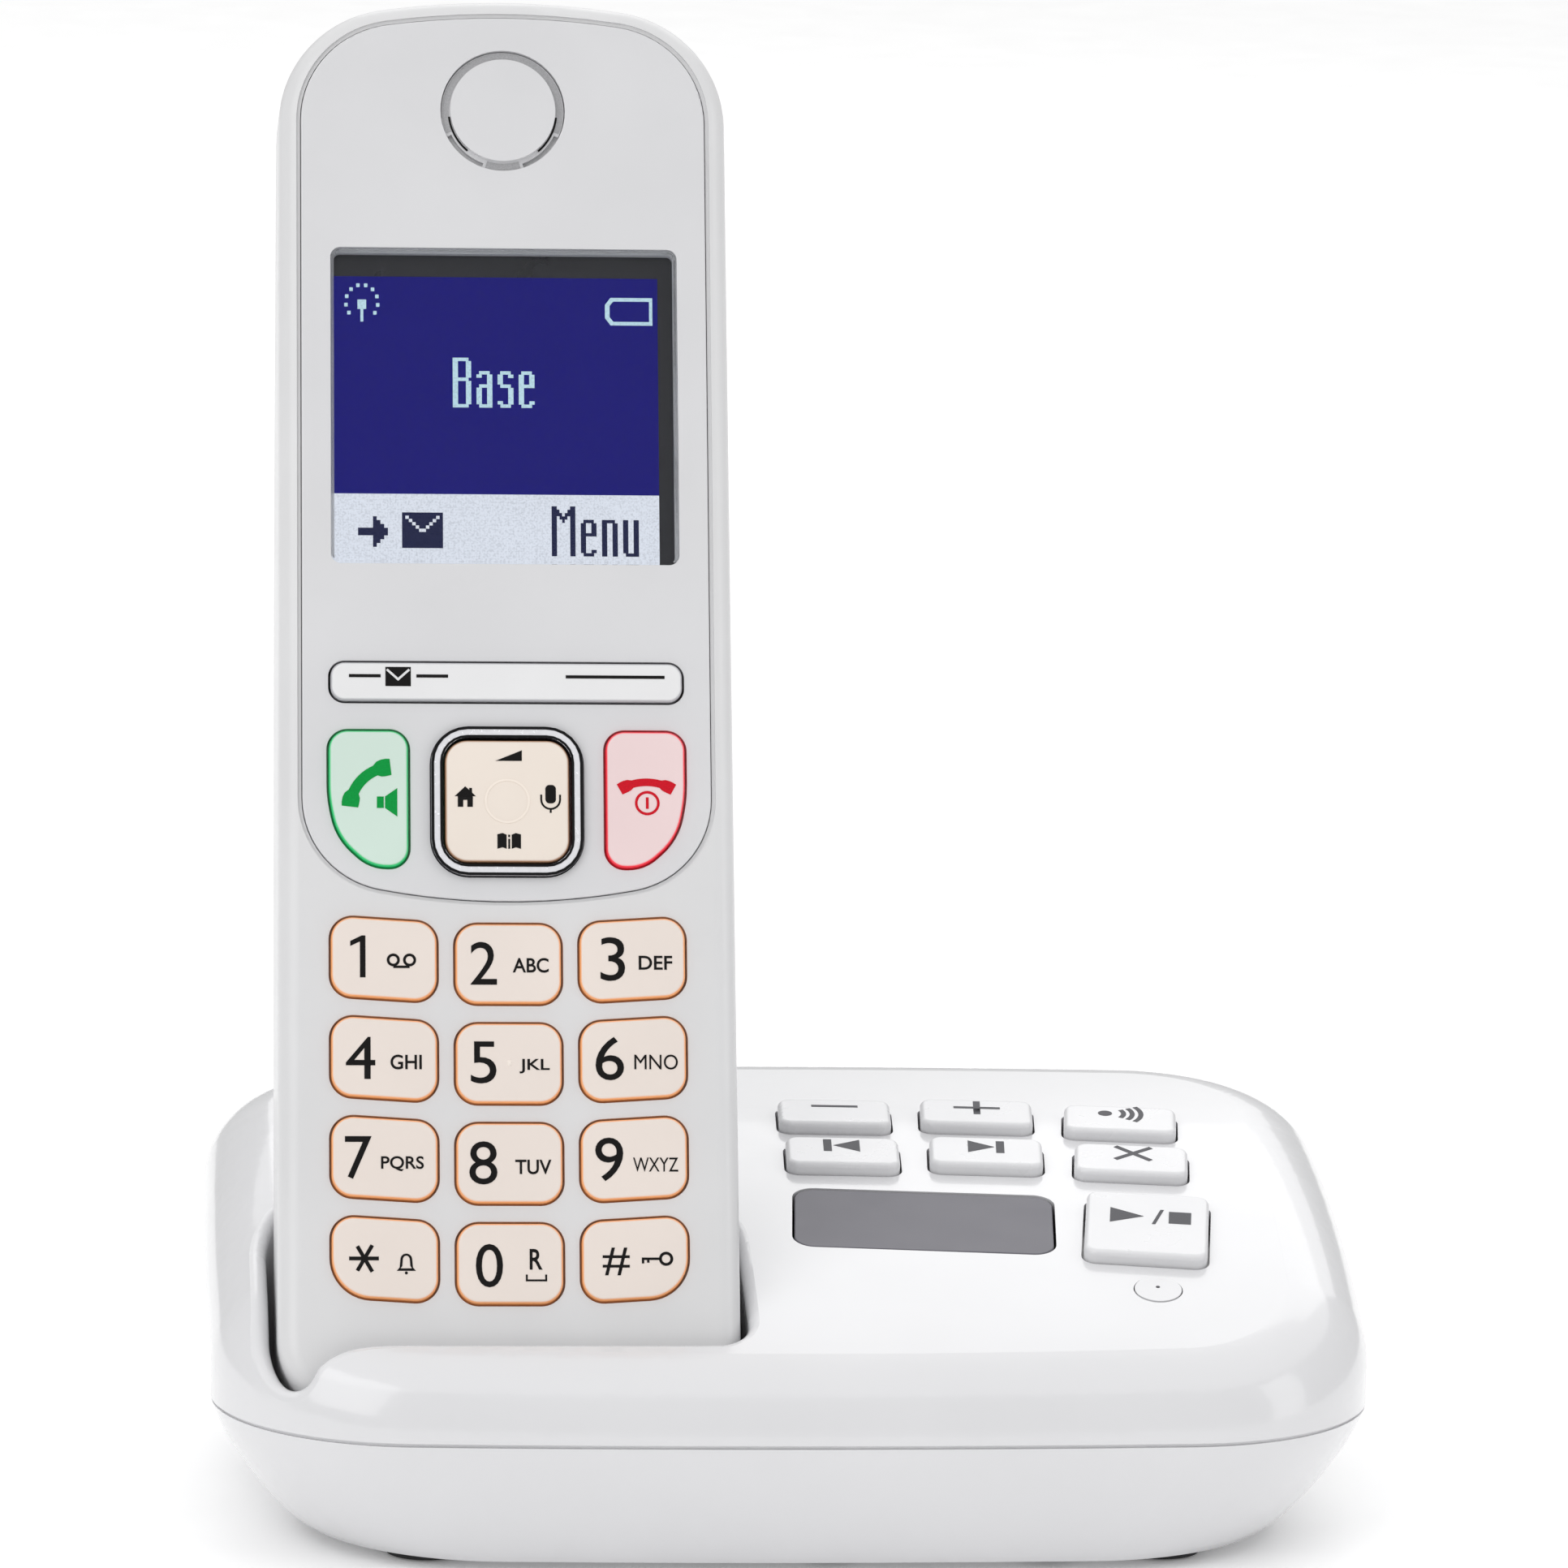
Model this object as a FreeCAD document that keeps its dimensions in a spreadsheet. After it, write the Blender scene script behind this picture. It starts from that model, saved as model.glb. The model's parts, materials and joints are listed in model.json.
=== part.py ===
"""Cordless phone standing in its base, as a parametric document.

The base rests on Z = 0, centred on the Z axis, with its front towards -Y.
Handset pieces are drawn in the handset's own frame (x across, y along the
handset from its lower end, z out of its face) and placed with one placement.
Deck pieces are drawn in a frame that lies on the base's top surface.
"""
import FreeCAD, Part
import math
import os
import re
from FreeCAD import Placement, Rotation, Vector

doc = FreeCAD.newDocument("cordless_phone")

SIZES = {
    # base hull
    "base_width": 124.0,
    "base_depth": 87.4,
    "base_seam_height": 15.0,
    "base_floor_height": 1.0,
    "base_wall": 2.0,
    "base_side_crown": 750.0,
    "base_front_crown": 800.0,
    "base_corner_radius": 21.8,
    "base_foot_inset_side": 9.6,
    "base_foot_inset_front": 5.5,
    "base_belly_power": 1.23,
    "base_seam_groove": 0.4,
    "floor_level": 0.0,
    "deck_height": 34.0,
    "deck_slope": 11.3,
    "deck_radius": 263.0,
    "deck_edge_radius": 9.0,
    # cradle
    "lean": 22.4,
    "dock_offset": -30.6,
    "dock_setback": 10.6,
    "dock_depth": 10.8,
    "cradle_gap": 0.8,
    "cradle_wall": 1.8,
    "cradle_lip": 1.2,
    "contact_spacing": 18.0,
    "contact_width": 3.0,
    "contact_thickness": 1.2,
    "contact_length": 6.0,
    "contact_depth": 13.0,
    "contact_gap": 0.05,
    # handset hull
    "handset_length": 155.8,
    "handset_width_low": 48.8,
    "handset_width_high": 48.0,
    "handset_wall": 2.0,
    "crown_radius_high": 90.0,
    "corner_radius_high": 13.0,
    "crown_radius_low": 160.0,
    "corner_radius_low": 9.0,
    "thickness_low": 20.0,
    "thickness_high": 16.5,
    "back_bow": 7.3,
    "front_edge_radius": 2.3,
    "back_edge_radius": 8.0,
    "parting_depth": 9.5,
    "face_level": 0.0,
    # face panel and what it frames
    "panel_width": 43.4,
    "panel_low": 56.5,
    "panel_top_inset": 2.25,
    "panel_corner_low": 10.0,
    "panel_crown_low": 73.0,
    "panel_thickness": 1.2,
    "panel_groove": 0.5,
    "panel_groove_depth": 0.35,
    "seat_gap": 0.1,
    "display_width": 37.0,
    "display_height": 34.6,
    "display_centre": 110.5,
    "display_corner": 1.0,
    "window_thickness": 1.05,
    "window_seat": 0.3,
    "lcd_thickness": 2.5,
    "earpiece_centre": 143.2,
    "earpiece_radius": 5.65,
    "earpiece_well_radius": 6.6,
    "earpiece_well_depth": 0.5,
    "earpiece_slot_width": 0.5,
    "receiver_radius": 6.8,
    "receiver_thickness": 3.0,
    # handset keys
    "key_width": 11.15,
    "key_height": 8.5,
    "key_corner": 2.3,
    "key_corner_large": 4.3,
    "key_pitch_across": 13.15,
    "key_pitch_along": 10.69,
    "key_first_row": 17.6,
    "key_arc_rise": 0.5,
    "key_skew": 0.35,
    "key_proud": 0.5,
    "key_gap": 0.25,
    "key_travel": 0.4,
    "key_flange": 0.55,
    "key_flange_thickness": 0.8,
    "key_flange_gap": 0.15,
    "key_edge": 0.35,
    "softkey_width": 37.4,
    "softkey_height": 4.15,
    "softkey_centre": 80.15,
    "softkey_corner": 1.5,
    "softkey_stem": 2.7,
    "talk_inner": 10.5,
    "talk_outer": 18.9,
    "talk_low": 60.1,
    "talk_high": 74.8,
    "talk_corner": 2.0,
    "nav_centre": 67.2,
    "nav_ring_size": 16.2,
    "nav_ring_corner": 4.1,
    "nav_ring_inner": 13.8,
    "nav_ring_proud": 0.6,
    "nav_ring_ledge": 0.4,
    "nav_key_size": 13.2,
    "nav_key_corner": 2.4,
    "nav_key_stem": 2.3,
    "nav_plate_size": 8.0,
    "nav_plate_thickness": 0.7,
    "nav_plate_gap": 0.25,
    # handset inside
    "mat_gap": 0.15,
    "mat_thickness": 1.0,
    "mat_side_gap": 2.2,
    "mat_low": 11.2,
    "mat_high": 84.5,
    "board_side_gap": 2.4,
    "board_low": 6.0,
    "board_high": 133.0,
    "board_thickness": 1.2,
    "microphone_radius": 2.4,
    "microphone_centre": 7.6,
    "microphone_hole": 0.6,
    "cell_radius": 5.25,
    "cell_length": 44.5,
    "cell_pitch": 11.2,
    "cell_low": 40.0,
    "cell_depth": 16.25,
    "bay_wall": 1.2,
    "bay_gap": 0.4,
    "spring_length": 3.0,
    "spring_width": 6.0,
    "spring_thickness": 0.35,
    "strip_thickness": 0.4,
    "cover_width": 30.0,
    "cover_low": 34.0,
    "cover_high": 92.0,
    "cover_thickness": 1.6,
    "cover_gap": 0.3,
    "cover_corner": 3.0,
    "grip_width": 12.0,
    "grip_depth": 0.7,
    "ringer_centre": 118.0,
    "ringer_radius": 9.0,
    "ringer_thickness": 4.0,
    "ringer_depth": 14.5,
    "ringer_slot_width": 1.2,
    "ringer_slot_pitch": 2.6,
    "pad_width": 5.0,
    "pad_height": 3.2,
    "pad_recess": 0.05,
    # deck keys
    "deck_key_width": 12.3,
    "deck_key_depth": 7.6,
    "play_key_width": 13.2,
    "play_key_depth": 14.4,
    "deck_key_corner": 1.4,
    "deck_key_edge": 0.6,
    "deck_key_proud": 1.35,
    "deck_key_gap": 0.25,
    "deck_key_flange": 0.6,
    "deck_key_travel": 0.6,
    "deck_flange_thickness": 0.8,
    "deck_column_first": 7.3,
    "deck_column_pitch": 15.65,
    "deck_row_back": 15.5,
    "deck_row_middle": 4.1,
    "deck_row_play": -13.8,
    "deck_third_column_drop": 2.0,
    "deck_turn_first": -2.5,
    "deck_turn_second": -4.0,
    "deck_turn_third": -6.0,
    "deck_turn_play": -7.0,
    "round_key_proud": 0.1,
    "round_key_radius": 2.5,
    "round_key_row": -25.6,
    "counter_width": 27.8,
    "counter_depth": 13.7,
    "counter_corner": 2.2,
    "counter_across": 14.9,
    "counter_row": -10.7,
    "counter_turn": -4.2,
    "counter_recess": 0.15,
    "counter_thickness": 1.3,
    "counter_module": 3.4,
    "deck_mat_depth": 4.0,
    "deck_board_depth": 6.2,
    "deck_board_thickness": 1.6,
    "deck_board_left": -1.0,
    "deck_board_right": 48.0,
    "deck_board_front": -28.6,
    "deck_board_back": 22.5,
    # base inside and underside
    "loudspeaker_radius": 14.0,
    "loudspeaker_height": 6.0,
    "loudspeaker_across": 22.0,
    "loudspeaker_row": -4.0,
    "loudspeaker_hole": 0.9,
    "socket_width": 13.0,
    "socket_height": 10.4,
    "socket_length": 14.0,
    "socket_setback": 4.6,
    "socket_mouth_width": 9.8,
    "socket_mouth_height": 6.8,
    "socket_mouth_depth": 11.0,
    "latch_width": 3.4,
    "latch_height": 1.2,
    "line_socket_across": 6.0,
    "power_socket_across": 24.0,
    "foot_radius": 4.2,
    "foot_recess": 0.5,
    "foot_across": 39.0,
    "foot_row_front": 29.0,
    "foot_row_back": 24.0,
    "screw_row_front": 32.0,
    "screw_row_back": 33.5,
    "screw_across_front": 3.5,
    "screw_pitch_front": 23.0,
    "boss_radius": 4.0,
    "screw_radius": 1.25,
    "screw_head_radius": 2.6,
    "screw_head_height": 1.8,
    "screw_length": 20.0,
    "screw_gap": 0.3,
}

sheet = doc.addObject("Spreadsheet::Sheet", "Sizes")
for row, (alias, value) in enumerate(SIZES.items(), start=1):
    sheet.set(f"A{row}", alias)
    sheet.set(f"B{row}", str(value))
    sheet.setAlias(f"B{row}", alias)
doc.recompute()


def size(alias):
    """Return the number that the sheet holds under this alias."""
    return float(sheet.get(alias))


def bind(item, prop, formula):
    """Bind a property to a formula of the sheet's aliases."""
    item.setExpression(prop, re.sub(r"[a-z][a-z_]+", r"Sizes.\g<0>", formula))


subparts = {}


def keep(item, node, place=None):
    """Register an object as a sub-part under its node name, at its place."""
    item.Label = node
    if place is not None:
        item.Placement = place
    subparts[node] = item
    return item


# ---------------------------------------------------------------- outlines

def arc_between(centre, radius, start, end):
    """Return the arc about a centre that runs the short way between two points."""
    middle = ((start + end) * 0.5 - centre).normalize() * radius + centre
    return Part.Arc(start, middle, end)


def rounded_polygon(corners, radii, grow=0.0):
    """Return lines and arcs of a convex polygon, counter-clockwise, grown outwards."""
    count = len(corners)
    edges = []
    for index in range(count):
        start = Vector(*corners[index])
        along = (Vector(*corners[(index + 1) % count]) - start).normalize()
        edges.append((start + Vector(along.y, -along.x, 0) * grow, along))
    tangents = []
    for index in range(count):
        (before, along), (after, away) = edges[index - 1], edges[index]
        reach = (after - before).cross(away).z / along.cross(away).z
        corner = before + along * reach
        radius = radii[index] + grow
        half_turn = math.atan2(along.cross(away).z, along.dot(away)) / 2
        setback = radius * math.tan(half_turn)
        inward = Vector(-along.y, along.x, 0)
        start = corner - along * setback
        tangents.append((start, corner + away * setback, start + inward * radius, radius))
    shapes = []
    for index in range(count):
        start, end, centre, radius = tangents[index]
        shapes.append(arc_between(centre, radius, start, end))
        shapes.append(Part.LineSegment(end, tangents[(index + 1) % count][0]))
    return shapes


def rounded_rectangle(width, height, radius, grow=0.0, centre=(0.0, 0.0)):
    """Return a rectangle outline with four equal corner radii."""
    x, y = centre
    half_x, half_y = width / 2, height / 2
    corners = [(x - half_x, y - half_y), (x + half_x, y - half_y),
               (x + half_x, y + half_y), (x - half_x, y + half_y)]
    return rounded_polygon(corners, [radius] * 4, grow)


def crowned_corner(half_low, lean, tip, crown, corner):
    """Return the corner circle's centre and its two tangent points at a crowned end.

    The side line is x = half_low + lean * y, and the crown's tip is at y = tip.
    """
    stretch = math.hypot(1.0, lean)
    start = half_low - corner * stretch
    crown_centre = tip - crown
    a = 1 + lean ** 2
    b = 2 * (start * lean - crown_centre)
    c = start ** 2 + crown_centre ** 2 - (crown - corner) ** 2
    y = (-b + math.sqrt(b * b - 4 * a * c)) / (2 * a)
    centre = Vector(start + lean * y, y, 0)
    side = centre + Vector(1, -lean, 0) * (corner / stretch)
    middle = Vector(0, crown_centre, 0)
    return centre, side, middle + (centre - middle).normalize() * crown


def mirrored(point):
    """Return a point mirrored across the handset's centre line."""
    return Vector(-point.x, point.y, point.z)


def flipped(point):
    """Return a point with its place along the handset reversed."""
    return Vector(point.x, -point.y, point.z)


def crowned_outline(half_low, half_high, low, high, low_round, high_round, inset=0.0):
    """Return a tapered outline whose two ends are crowns with rounded corners.

    low_round and high_round each hold the crown's and the corner's radius.
    """
    lean = (half_high - half_low) / (high - low)
    half = half_low - lean * low - inset * math.hypot(1.0, lean)
    low, high = low + inset, high - inset
    crown_low, corner_low = (radius - inset for radius in low_round)
    crown_high, corner_high = (radius - inset for radius in high_round)
    top = crowned_corner(half, lean, high, crown_high, corner_high)
    bottom = [flipped(p) for p in crowned_corner(half, -lean, -low, crown_low, corner_low)]
    tip_high, tip_low = Vector(0, high, 0), Vector(0, low, 0)
    left_top = [mirrored(point) for point in top]
    left_bottom = [mirrored(point) for point in bottom]
    return [Part.LineSegment(bottom[1], top[1]),
            arc_between(top[0], corner_high, top[1], top[2]),
            Part.Arc(top[2], tip_high, left_top[2]),
            arc_between(left_top[0], corner_high, left_top[2], left_top[1]),
            Part.LineSegment(left_top[1], left_bottom[1]),
            arc_between(left_bottom[0], corner_low, left_bottom[1], left_bottom[2]),
            Part.Arc(left_bottom[2], tip_low, bottom[2]),
            arc_between(bottom[0], corner_low, bottom[2], bottom[1])]


# ---------------------------------------------------------------- solids

def prism(outline, low, high):
    """Return the solid of an outline extruded between two heights."""
    wire = Part.Wire([edge.toShape() for edge in outline])
    wire.translate(Vector(0, 0, low))
    return Part.Face(wire).extrude(Vector(0, 0, high - low))


def block(corner, opposite):
    """Return a box between two corners."""
    low, high = Vector(*corner), Vector(*opposite)
    return Part.makeBox(high.x - low.x, high.y - low.y, high.z - low.z, low)


def feature(name, shape):
    """Add a shape that was worked out with Part's own functions."""
    item = doc.addObject("Part::Feature", name)
    item.Shape = shape
    return item


def padded(name, layers):
    """Build a body of stacked pads.

    Each layer is an outline, the formula of its lower height and of its upper height.
    """
    body = doc.addObject("PartDesign::Body", name)
    plane = [p for p in body.Origin.OriginFeatures if p.Role == "XY_Plane"][0]
    for index, (outline, low, high) in enumerate(layers):
        sketch = body.newObject("Sketcher::SketchObject", f"{name}_outline_{index}")
        sketch.AttachmentSupport = (plane, "")
        sketch.MapMode = "FlatFace"
        bind(sketch, "AttachmentOffset.Base.z", low)
        sketch.addGeometry(outline, False)
        pad = body.newObject("PartDesign::Pad", f"{name}_pad_{index}")
        pad.Profile = sketch
        bind(pad, "Length", f"({high}) - ({low})")
        sketch.Visibility = False
    doc.recompute()
    return body


def soften(body, radius):
    """Round the rim of a body's top face."""
    tip = body.Tip
    faces = tip.Shape.Faces
    top = max(range(len(faces)), key=lambda index: faces[index].CenterOfMass.z)
    fillet = body.newObject("PartDesign::Fillet", f"{body.Name}_rim")
    fillet.Base = (tip, [f"Face{top + 1}"])
    bind(fillet, "Radius", radius)
    doc.recompute()
    return body


def cylinder(name, radius, low, high, centre=(0.0, 0.0)):
    """Add an upright cylinder whose radius and height are formulas."""
    item = doc.addObject("Part::Cylinder", name)
    bind(item, "Radius", radius)
    bind(item, "Height", f"({high}) - ({low})")
    item.Placement = Placement(Vector(centre[0], centre[1], 0), Rotation())
    bind(item, "Placement.Base.z", low)
    return item


def cut(name, base, tools):
    """Cut tools from a base object."""
    item = doc.addObject("Part::Cut", name)
    item.Base = base
    item.Tool = tools[0] if len(tools) == 1 else fuse(f"{name}_tools", tools)
    return item


def fuse(name, shapes):
    """Join several objects."""
    item = doc.addObject("Part::MultiFuse", name)
    item.Shapes = shapes
    return item


def common(name, shapes):
    """Keep what several objects share."""
    item = doc.addObject("Part::MultiCommon", name)
    item.Shapes = shapes
    return item


def group(name, items):
    """Gather separate solids that share one node."""
    item = doc.addObject("Part::Compound", name)
    item.Links = items
    return item


# ---------------------------------------------------------------- handset frame

def deck_angle(row):
    """Return the deck's slope, in degrees, at a distance back from the base's middle."""
    centre = size("deck_radius") * math.sin(math.radians(size("deck_slope")))
    return math.degrees(math.asin((centre - row) / size("deck_radius")))


def deck_level(row):
    """Return the height of the deck's surface at a distance back from the middle."""
    radius = size("deck_radius")
    slope = math.radians(size("deck_slope"))
    rise = math.cos(math.radians(deck_angle(row))) - math.cos(slope)
    return size("deck_height") + radius * rise


LEAN = math.radians(size("lean"))
RIM_ROW = size("dock_setback") - size("base_depth") / 2
DOCK = Vector(size("dock_offset"),
              RIM_ROW - size("dock_depth") * math.sin(LEAN),
              deck_level(RIM_ROW) - size("dock_depth") * math.cos(LEAN))
HANDSET = Placement(DOCK, Rotation(Vector(1, 0, 0), 90 - size("lean")))


def on_deck(across, row, turn=0.0):
    """Return the placement of a piece that stands on the deck's surface."""
    tilt = Rotation(Vector(1, 0, 0), deck_angle(row))
    return Placement(Vector(across, row, deck_level(row)),
                     tilt.multiply(Rotation(Vector(0, 0, 1), turn)))


def handset_outline(inset=0.0):
    """Return the handset's outline as seen from its face."""
    return crowned_outline(size("handset_width_low") / 2, size("handset_width_high") / 2,
                           0.0, size("handset_length"),
                           (size("crown_radius_low"), size("corner_radius_low")),
                           (size("crown_radius_high"), size("corner_radius_high")), inset)


def back_arc():
    """Return the centre and radius of the handset's bowed back, in y and z."""
    length = size("handset_length")
    chord = math.hypot(length, size("thickness_low") - size("thickness_high"))
    radius = (chord ** 2 / 4 + size("back_bow") ** 2) / (2 * size("back_bow"))
    rise = radius - size("back_bow")
    middle = (size("thickness_low") + size("thickness_high")) / 2
    across = (size("thickness_low") - size("thickness_high")) / chord
    return Vector(0, length / 2 - rise * across, rise * length / chord - middle), radius


def back_depth(along, inset=0.0):
    """Return the depth of the bowed back below the face, at a place along the handset."""
    centre, radius = back_arc()
    return math.sqrt((radius - inset) ** 2 - (along - centre.y) ** 2) - centre.z


def back_cylinder(inset=0.0):
    """Return the round solid whose skin is the handset's bowed back."""
    centre, radius = back_arc()
    width = 2 * size("handset_width_low")
    return Part.makeCylinder(radius - inset, width, centre - Vector(width / 2, 0, 0),
                             Vector(1, 0, 0))


def rim_edges(solid, test):
    """Return the edges of a solid that pass a test on their middle points."""
    found = []
    for edge in solid.Edges:
        low, high = edge.ParameterRange
        if test(edge.valueAt((low + high) / 2)):
            found.append(edge)
    return found


def handset_hull(inset=0.0):
    """Return the handset's outer solid, moved inwards by an inset all round."""
    deep = size("thickness_low") + size("back_bow") + size("handset_wall") + abs(inset)
    solid = prism(handset_outline(inset), -deep, -inset).common(back_cylinder(inset))
    front = rim_edges(solid, lambda p: abs(p.z + inset) < 1e-4)
    solid = solid.makeFillet(size("front_edge_radius") - min(inset, 0.9 * size("front_edge_radius")),
                             front)
    centre, radius = back_arc()

    def on_back(point):
        reach = math.hypot(point.y - centre.y, point.z - centre.z)
        return point.z < -size("parting_depth") and abs(reach - radius + inset) < 1e-3

    return solid.makeFillet(size("back_edge_radius") - inset, rim_edges(solid, on_back))


def half_space(low, high):
    """Return a box as wide as the handset between two heights of its frame."""
    reach = size("handset_width_low")
    return block((-reach, -reach, low), (reach, size("handset_length") + reach, high))


# ---------------------------------------------------------------- key layout

def number_keys():
    """Return each number key's name, corner points and corner radii."""
    names = [["key_star", "key_0", "key_hash"], ["key_7", "key_8", "key_9"],
             ["key_4", "key_5", "key_6"], ["key_1", "key_2", "key_3"]]
    half_x, half_y = size("key_width") / 2, size("key_height") / 2
    keys = []
    for row, labels in enumerate(names):
        for column, name in enumerate(labels):
            side = column - 1
            x = side * size("key_pitch_across")
            y = size("key_first_row") + row * size("key_pitch_along")
            y += abs(side) * size("key_arc_rise")
            skew = side * size("key_skew")
            corners = [(x - half_x, y - half_y - skew), (x + half_x, y - half_y + skew),
                       (x + half_x, y + half_y + skew), (x - half_x, y + half_y - skew)]
            radii = [size("key_corner")] * 4
            if row == 0 and side:
                radii[0 if side < 0 else 1] = size("key_corner_large")
            keys.append((name, corners, radii))
    return keys


def talk_key(side):
    """Return the corner points and radii of the call key (-1) or the end key (+1)."""
    low, high = size("talk_low"), size("talk_high")
    inner, outer = size("talk_inner"), size("talk_outer")
    bend = (high - low) * 0.5
    right = [(inner, low), (outer - bend * 0.6, low), (outer - bend * 0.12, low + bend * 0.435),
             (outer, low + bend * 1.02), (outer, high), (inner, high)]
    radii = [size("talk_corner"), bend * 0.6, bend * 0.95, bend * 2, size("talk_corner"),
             size("talk_corner")]
    if side > 0:
        return right, radii
    left = [(-x, y) for x, y in reversed(right)]
    return left, radii[::-1]


FLANGE_TOP = "-(handset_wall + key_flange_gap)"
FLANGE_LOW = "-(handset_wall + key_flange_gap + key_flange_thickness)"
MAT_TOP = ("-(handset_wall + key_flange_gap + key_flange_thickness"
           " + key_travel + mat_gap)")
MAT_LOW = MAT_TOP + " - mat_thickness"
BOARD_LOW = MAT_LOW + " - board_thickness"


def opening(name, corners, radii):
    """Return a hole through the face with a key's clearance around its outline."""
    outline = rounded_polygon(corners, radii, size("key_gap"))
    return feature(f"{name}_opening", prism(outline, -2 * size("handset_wall"), size("handset_wall")))


def face_key(name, corners, radii):
    """Build a key with a cap through the face and a flange behind it."""
    cap = rounded_polygon(corners, radii)
    flange = rounded_polygon(corners, radii, size("key_flange"))
    body = padded(name, [(flange, FLANGE_LOW, FLANGE_TOP), (cap, FLANGE_TOP, "key_proud")])
    keep(soften(body, "key_edge"), name, HANDSET)


def build_handset_keys():
    """Build the keys of the handset and return their openings by region."""
    number_holes = []
    for name, corners, radii in number_keys():
        face_key(name, corners, radii)
        number_holes.append(opening(name, corners, radii))
    panel_holes = []
    for name, side in (("call_key", -1), ("end_key", 1)):
        corners, radii = talk_key(side)
        face_key(name, corners, radii)
        panel_holes.append(opening(name, corners, radii))

    half_x, half_y = size("softkey_width") / 2, size("softkey_height") / 2
    y = size("softkey_centre")
    corners = [(-half_x, y - half_y), (half_x, y - half_y), (half_x, y + half_y),
               (-half_x, y + half_y)]
    radii = [size("softkey_corner")] * 4
    bar = padded("softkey_bar", [(rounded_polygon(corners, radii), "-softkey_stem", "key_proud")])
    keep(soften(bar, "key_edge"), "softkey_bar", HANDSET)
    panel_holes.append(opening("softkey_bar", corners, radii))
    return number_holes, panel_holes


def build_nav():
    """Build the four-way key, its rocking plate and the bright ring round it."""
    place = (0.0, size("nav_centre"))
    ring_outer = rounded_rectangle(size("nav_ring_size"), size("nav_ring_size"),
                                   size("nav_ring_corner"), 0.0, place)
    border = (size("nav_ring_size") - size("nav_ring_inner")) / 2
    inner_corner = size("nav_ring_corner") - border
    hole = rounded_rectangle(size("nav_ring_inner"), size("nav_ring_inner"), inner_corner,
                             0.0, place)
    blank = padded("nav_ring_blank", [(ring_outer, "-panel_thickness", "nav_ring_proud")])
    soften(blank, "key_edge")
    bore = feature("nav_ring_bore", prism(hole, -2 * size("handset_wall"), size("handset_wall")))
    keep(cut("nav_ring_solid", blank, [bore]), "nav_ring", HANDSET)

    cap = rounded_rectangle(size("nav_key_size"), size("nav_key_size"), size("nav_key_corner"),
                            0.0, place)
    key = padded("nav_key", [(cap, "-nav_key_stem", "key_proud")])
    keep(soften(key, "key_edge"), "nav_key", HANDSET)

    plate = rounded_rectangle(size("nav_plate_size"), size("nav_plate_size"),
                              size("nav_key_corner") / 2, 0.0, place)
    top = "-(nav_key_stem + nav_plate_gap)"
    keep(padded("nav_rocker", [(plate, f"{top} - nav_plate_thickness", top)]), "nav_rocker",
         HANDSET)

    seat = rounded_rectangle(size("nav_ring_size"), size("nav_ring_size"),
                             size("nav_ring_corner"), size("seat_gap"), place)
    panel_hole = feature("nav_panel_hole", prism(seat, -size("panel_thickness"),
                                                 size("handset_wall")))
    ledge = size("nav_ring_ledge")
    way = rounded_rectangle(size("nav_ring_size"), size("nav_ring_size"),
                            size("nav_ring_corner"), -ledge, place)
    through = feature("nav_shell_hole", prism(way, -2 * size("handset_wall"), 0.0))
    return panel_hole, through


def panel_outline(grow=0.0):
    """Return the outline of the inset face panel."""
    half = size("panel_width") / 2
    inset = size("panel_top_inset")
    return crowned_outline(half, half, size("panel_low"), size("handset_length") - inset,
                           (size("panel_crown_low"), size("panel_corner_low")),
                           (size("crown_radius_high") - inset,
                            size("corner_radius_high") - inset), -grow)


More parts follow.
